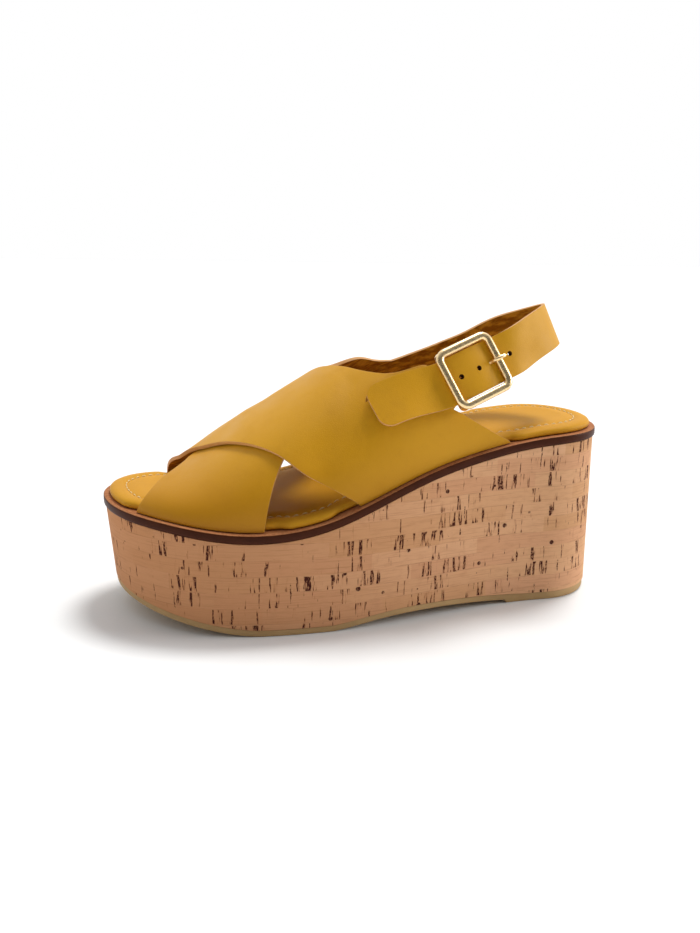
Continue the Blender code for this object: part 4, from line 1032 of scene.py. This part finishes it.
# Shares of SPAN_ALONG and heights: under the strap and out through its hole
rise = np.array([(0.32, -0.0009), (0.62, -0.0005), (0.80, 0.0002), (0.872, 0.0023), (0.915, 0.0045)])
pin = np.concatenate([
    np.stack([UNDER_BAR_SHIFT + hook * np.cos(turn), -under_bar_deep() + hook * np.sin(turn)], axis=1),
    rise * [SPAN_ALONG, 1],
    [(SPAN_ALONG * 0.97, rest), (SPAN_ALONG * 1.03, rest), (SPAN_ALONG * 1.09, rest - 0.0004)]])
gone = walked(pin)
pin = spline(gone, pin, np.linspace(0, gone[-1], 90))
prong = piece("buckle_prong_metal", *carried(seat + along * pin[:, :1] + out * pin[:, 1:], across,
                                             oval(PRONG, PRONG, 18)), [metal], sharp=60)
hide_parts("buckle_prong")
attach(prong, "root")

# Stage: a plain pale floor without an end under a white surround that is dimmer in front, one soft light high
# up behind the heel, and a weaker one low on the heel's side. The camera stands where the photograph's did.

FLOOR_HALF = 30
PHOTO_TALL, FOCAL, SENSOR = 933, 770, 36.0      # pixels, pixels and millimetres
floor_points = np.array([(-1, -1, 0), (1, -1, 0), (1, 1, 0), (-1, 1, 0)], float) * FLOOR_HALF
floor_paint = finish("floor_paint", 0.9, Specular_IOR_Level=0.1, Base_Color=(0.865, 0.88, 0.89, 1))[0]
floor = piece("floor", floor_points, [(0, 1, 2, 3)], [floor_paint], closed=False)

world = bpy.data.worlds.new("surround")
bpy.context.scene.world = world
world.use_nodes = True
way = axes(node("TexCoord", tree=world.node_tree).outputs["Generated"])
plug(world.node_tree.nodes["Background"], {"Color": (1, 1, 1, 1),
                                           "Strength": ranged(way[1], -0.75, 0.45, 0.14, 1.0, "SMOOTHSTEP")})
bpy.context.scene.view_settings.view_transform = "Standard"


def lamp(name, direction, strength, angle, tone=(1.0, 1.0, 1.0)):
    """Distant light that shines from direction, as soft as its angle in degrees."""
    light = bpy.data.lights.new(name, "SUN")
    light.energy, light.angle, light.color = strength, np.radians(angle), tone
    made = bpy.data.objects.new(name, light)
    made.rotation_mode = "QUATERNION"
    made.rotation_quaternion = Vector(direction).to_track_quat("Z", "Y")
    bpy.context.scene.collection.objects.link(made)


lamp("key", (0.28, 0.22, 0.93), 2.0, 17, (1.0, 0.99, 0.97))
lamp("heel_side", (0.92, -0.18, 0.34), 1.3, 22)

camera_data = bpy.data.cameras.new("camera")
camera_data.sensor_width, camera_data.lens = SENSOR, FOCAL / PHOTO_TALL * SENSOR
camera_data.clip_start, camera_data.clip_end = 0.01, 100
camera = bpy.data.objects.new("camera", camera_data)
bpy.context.scene.collection.objects.link(camera)
bpy.context.scene.camera = camera
camera.matrix_world = (Matrix.Translation((-0.09365, -0.35903, 0.16409))
                       @ Matrix(((0.97142, 0.04893, -0.23226), (-0.23698, 0.25503, -0.93744),
                                 (0.01336, 0.96569, 0.25934))).to_4x4())
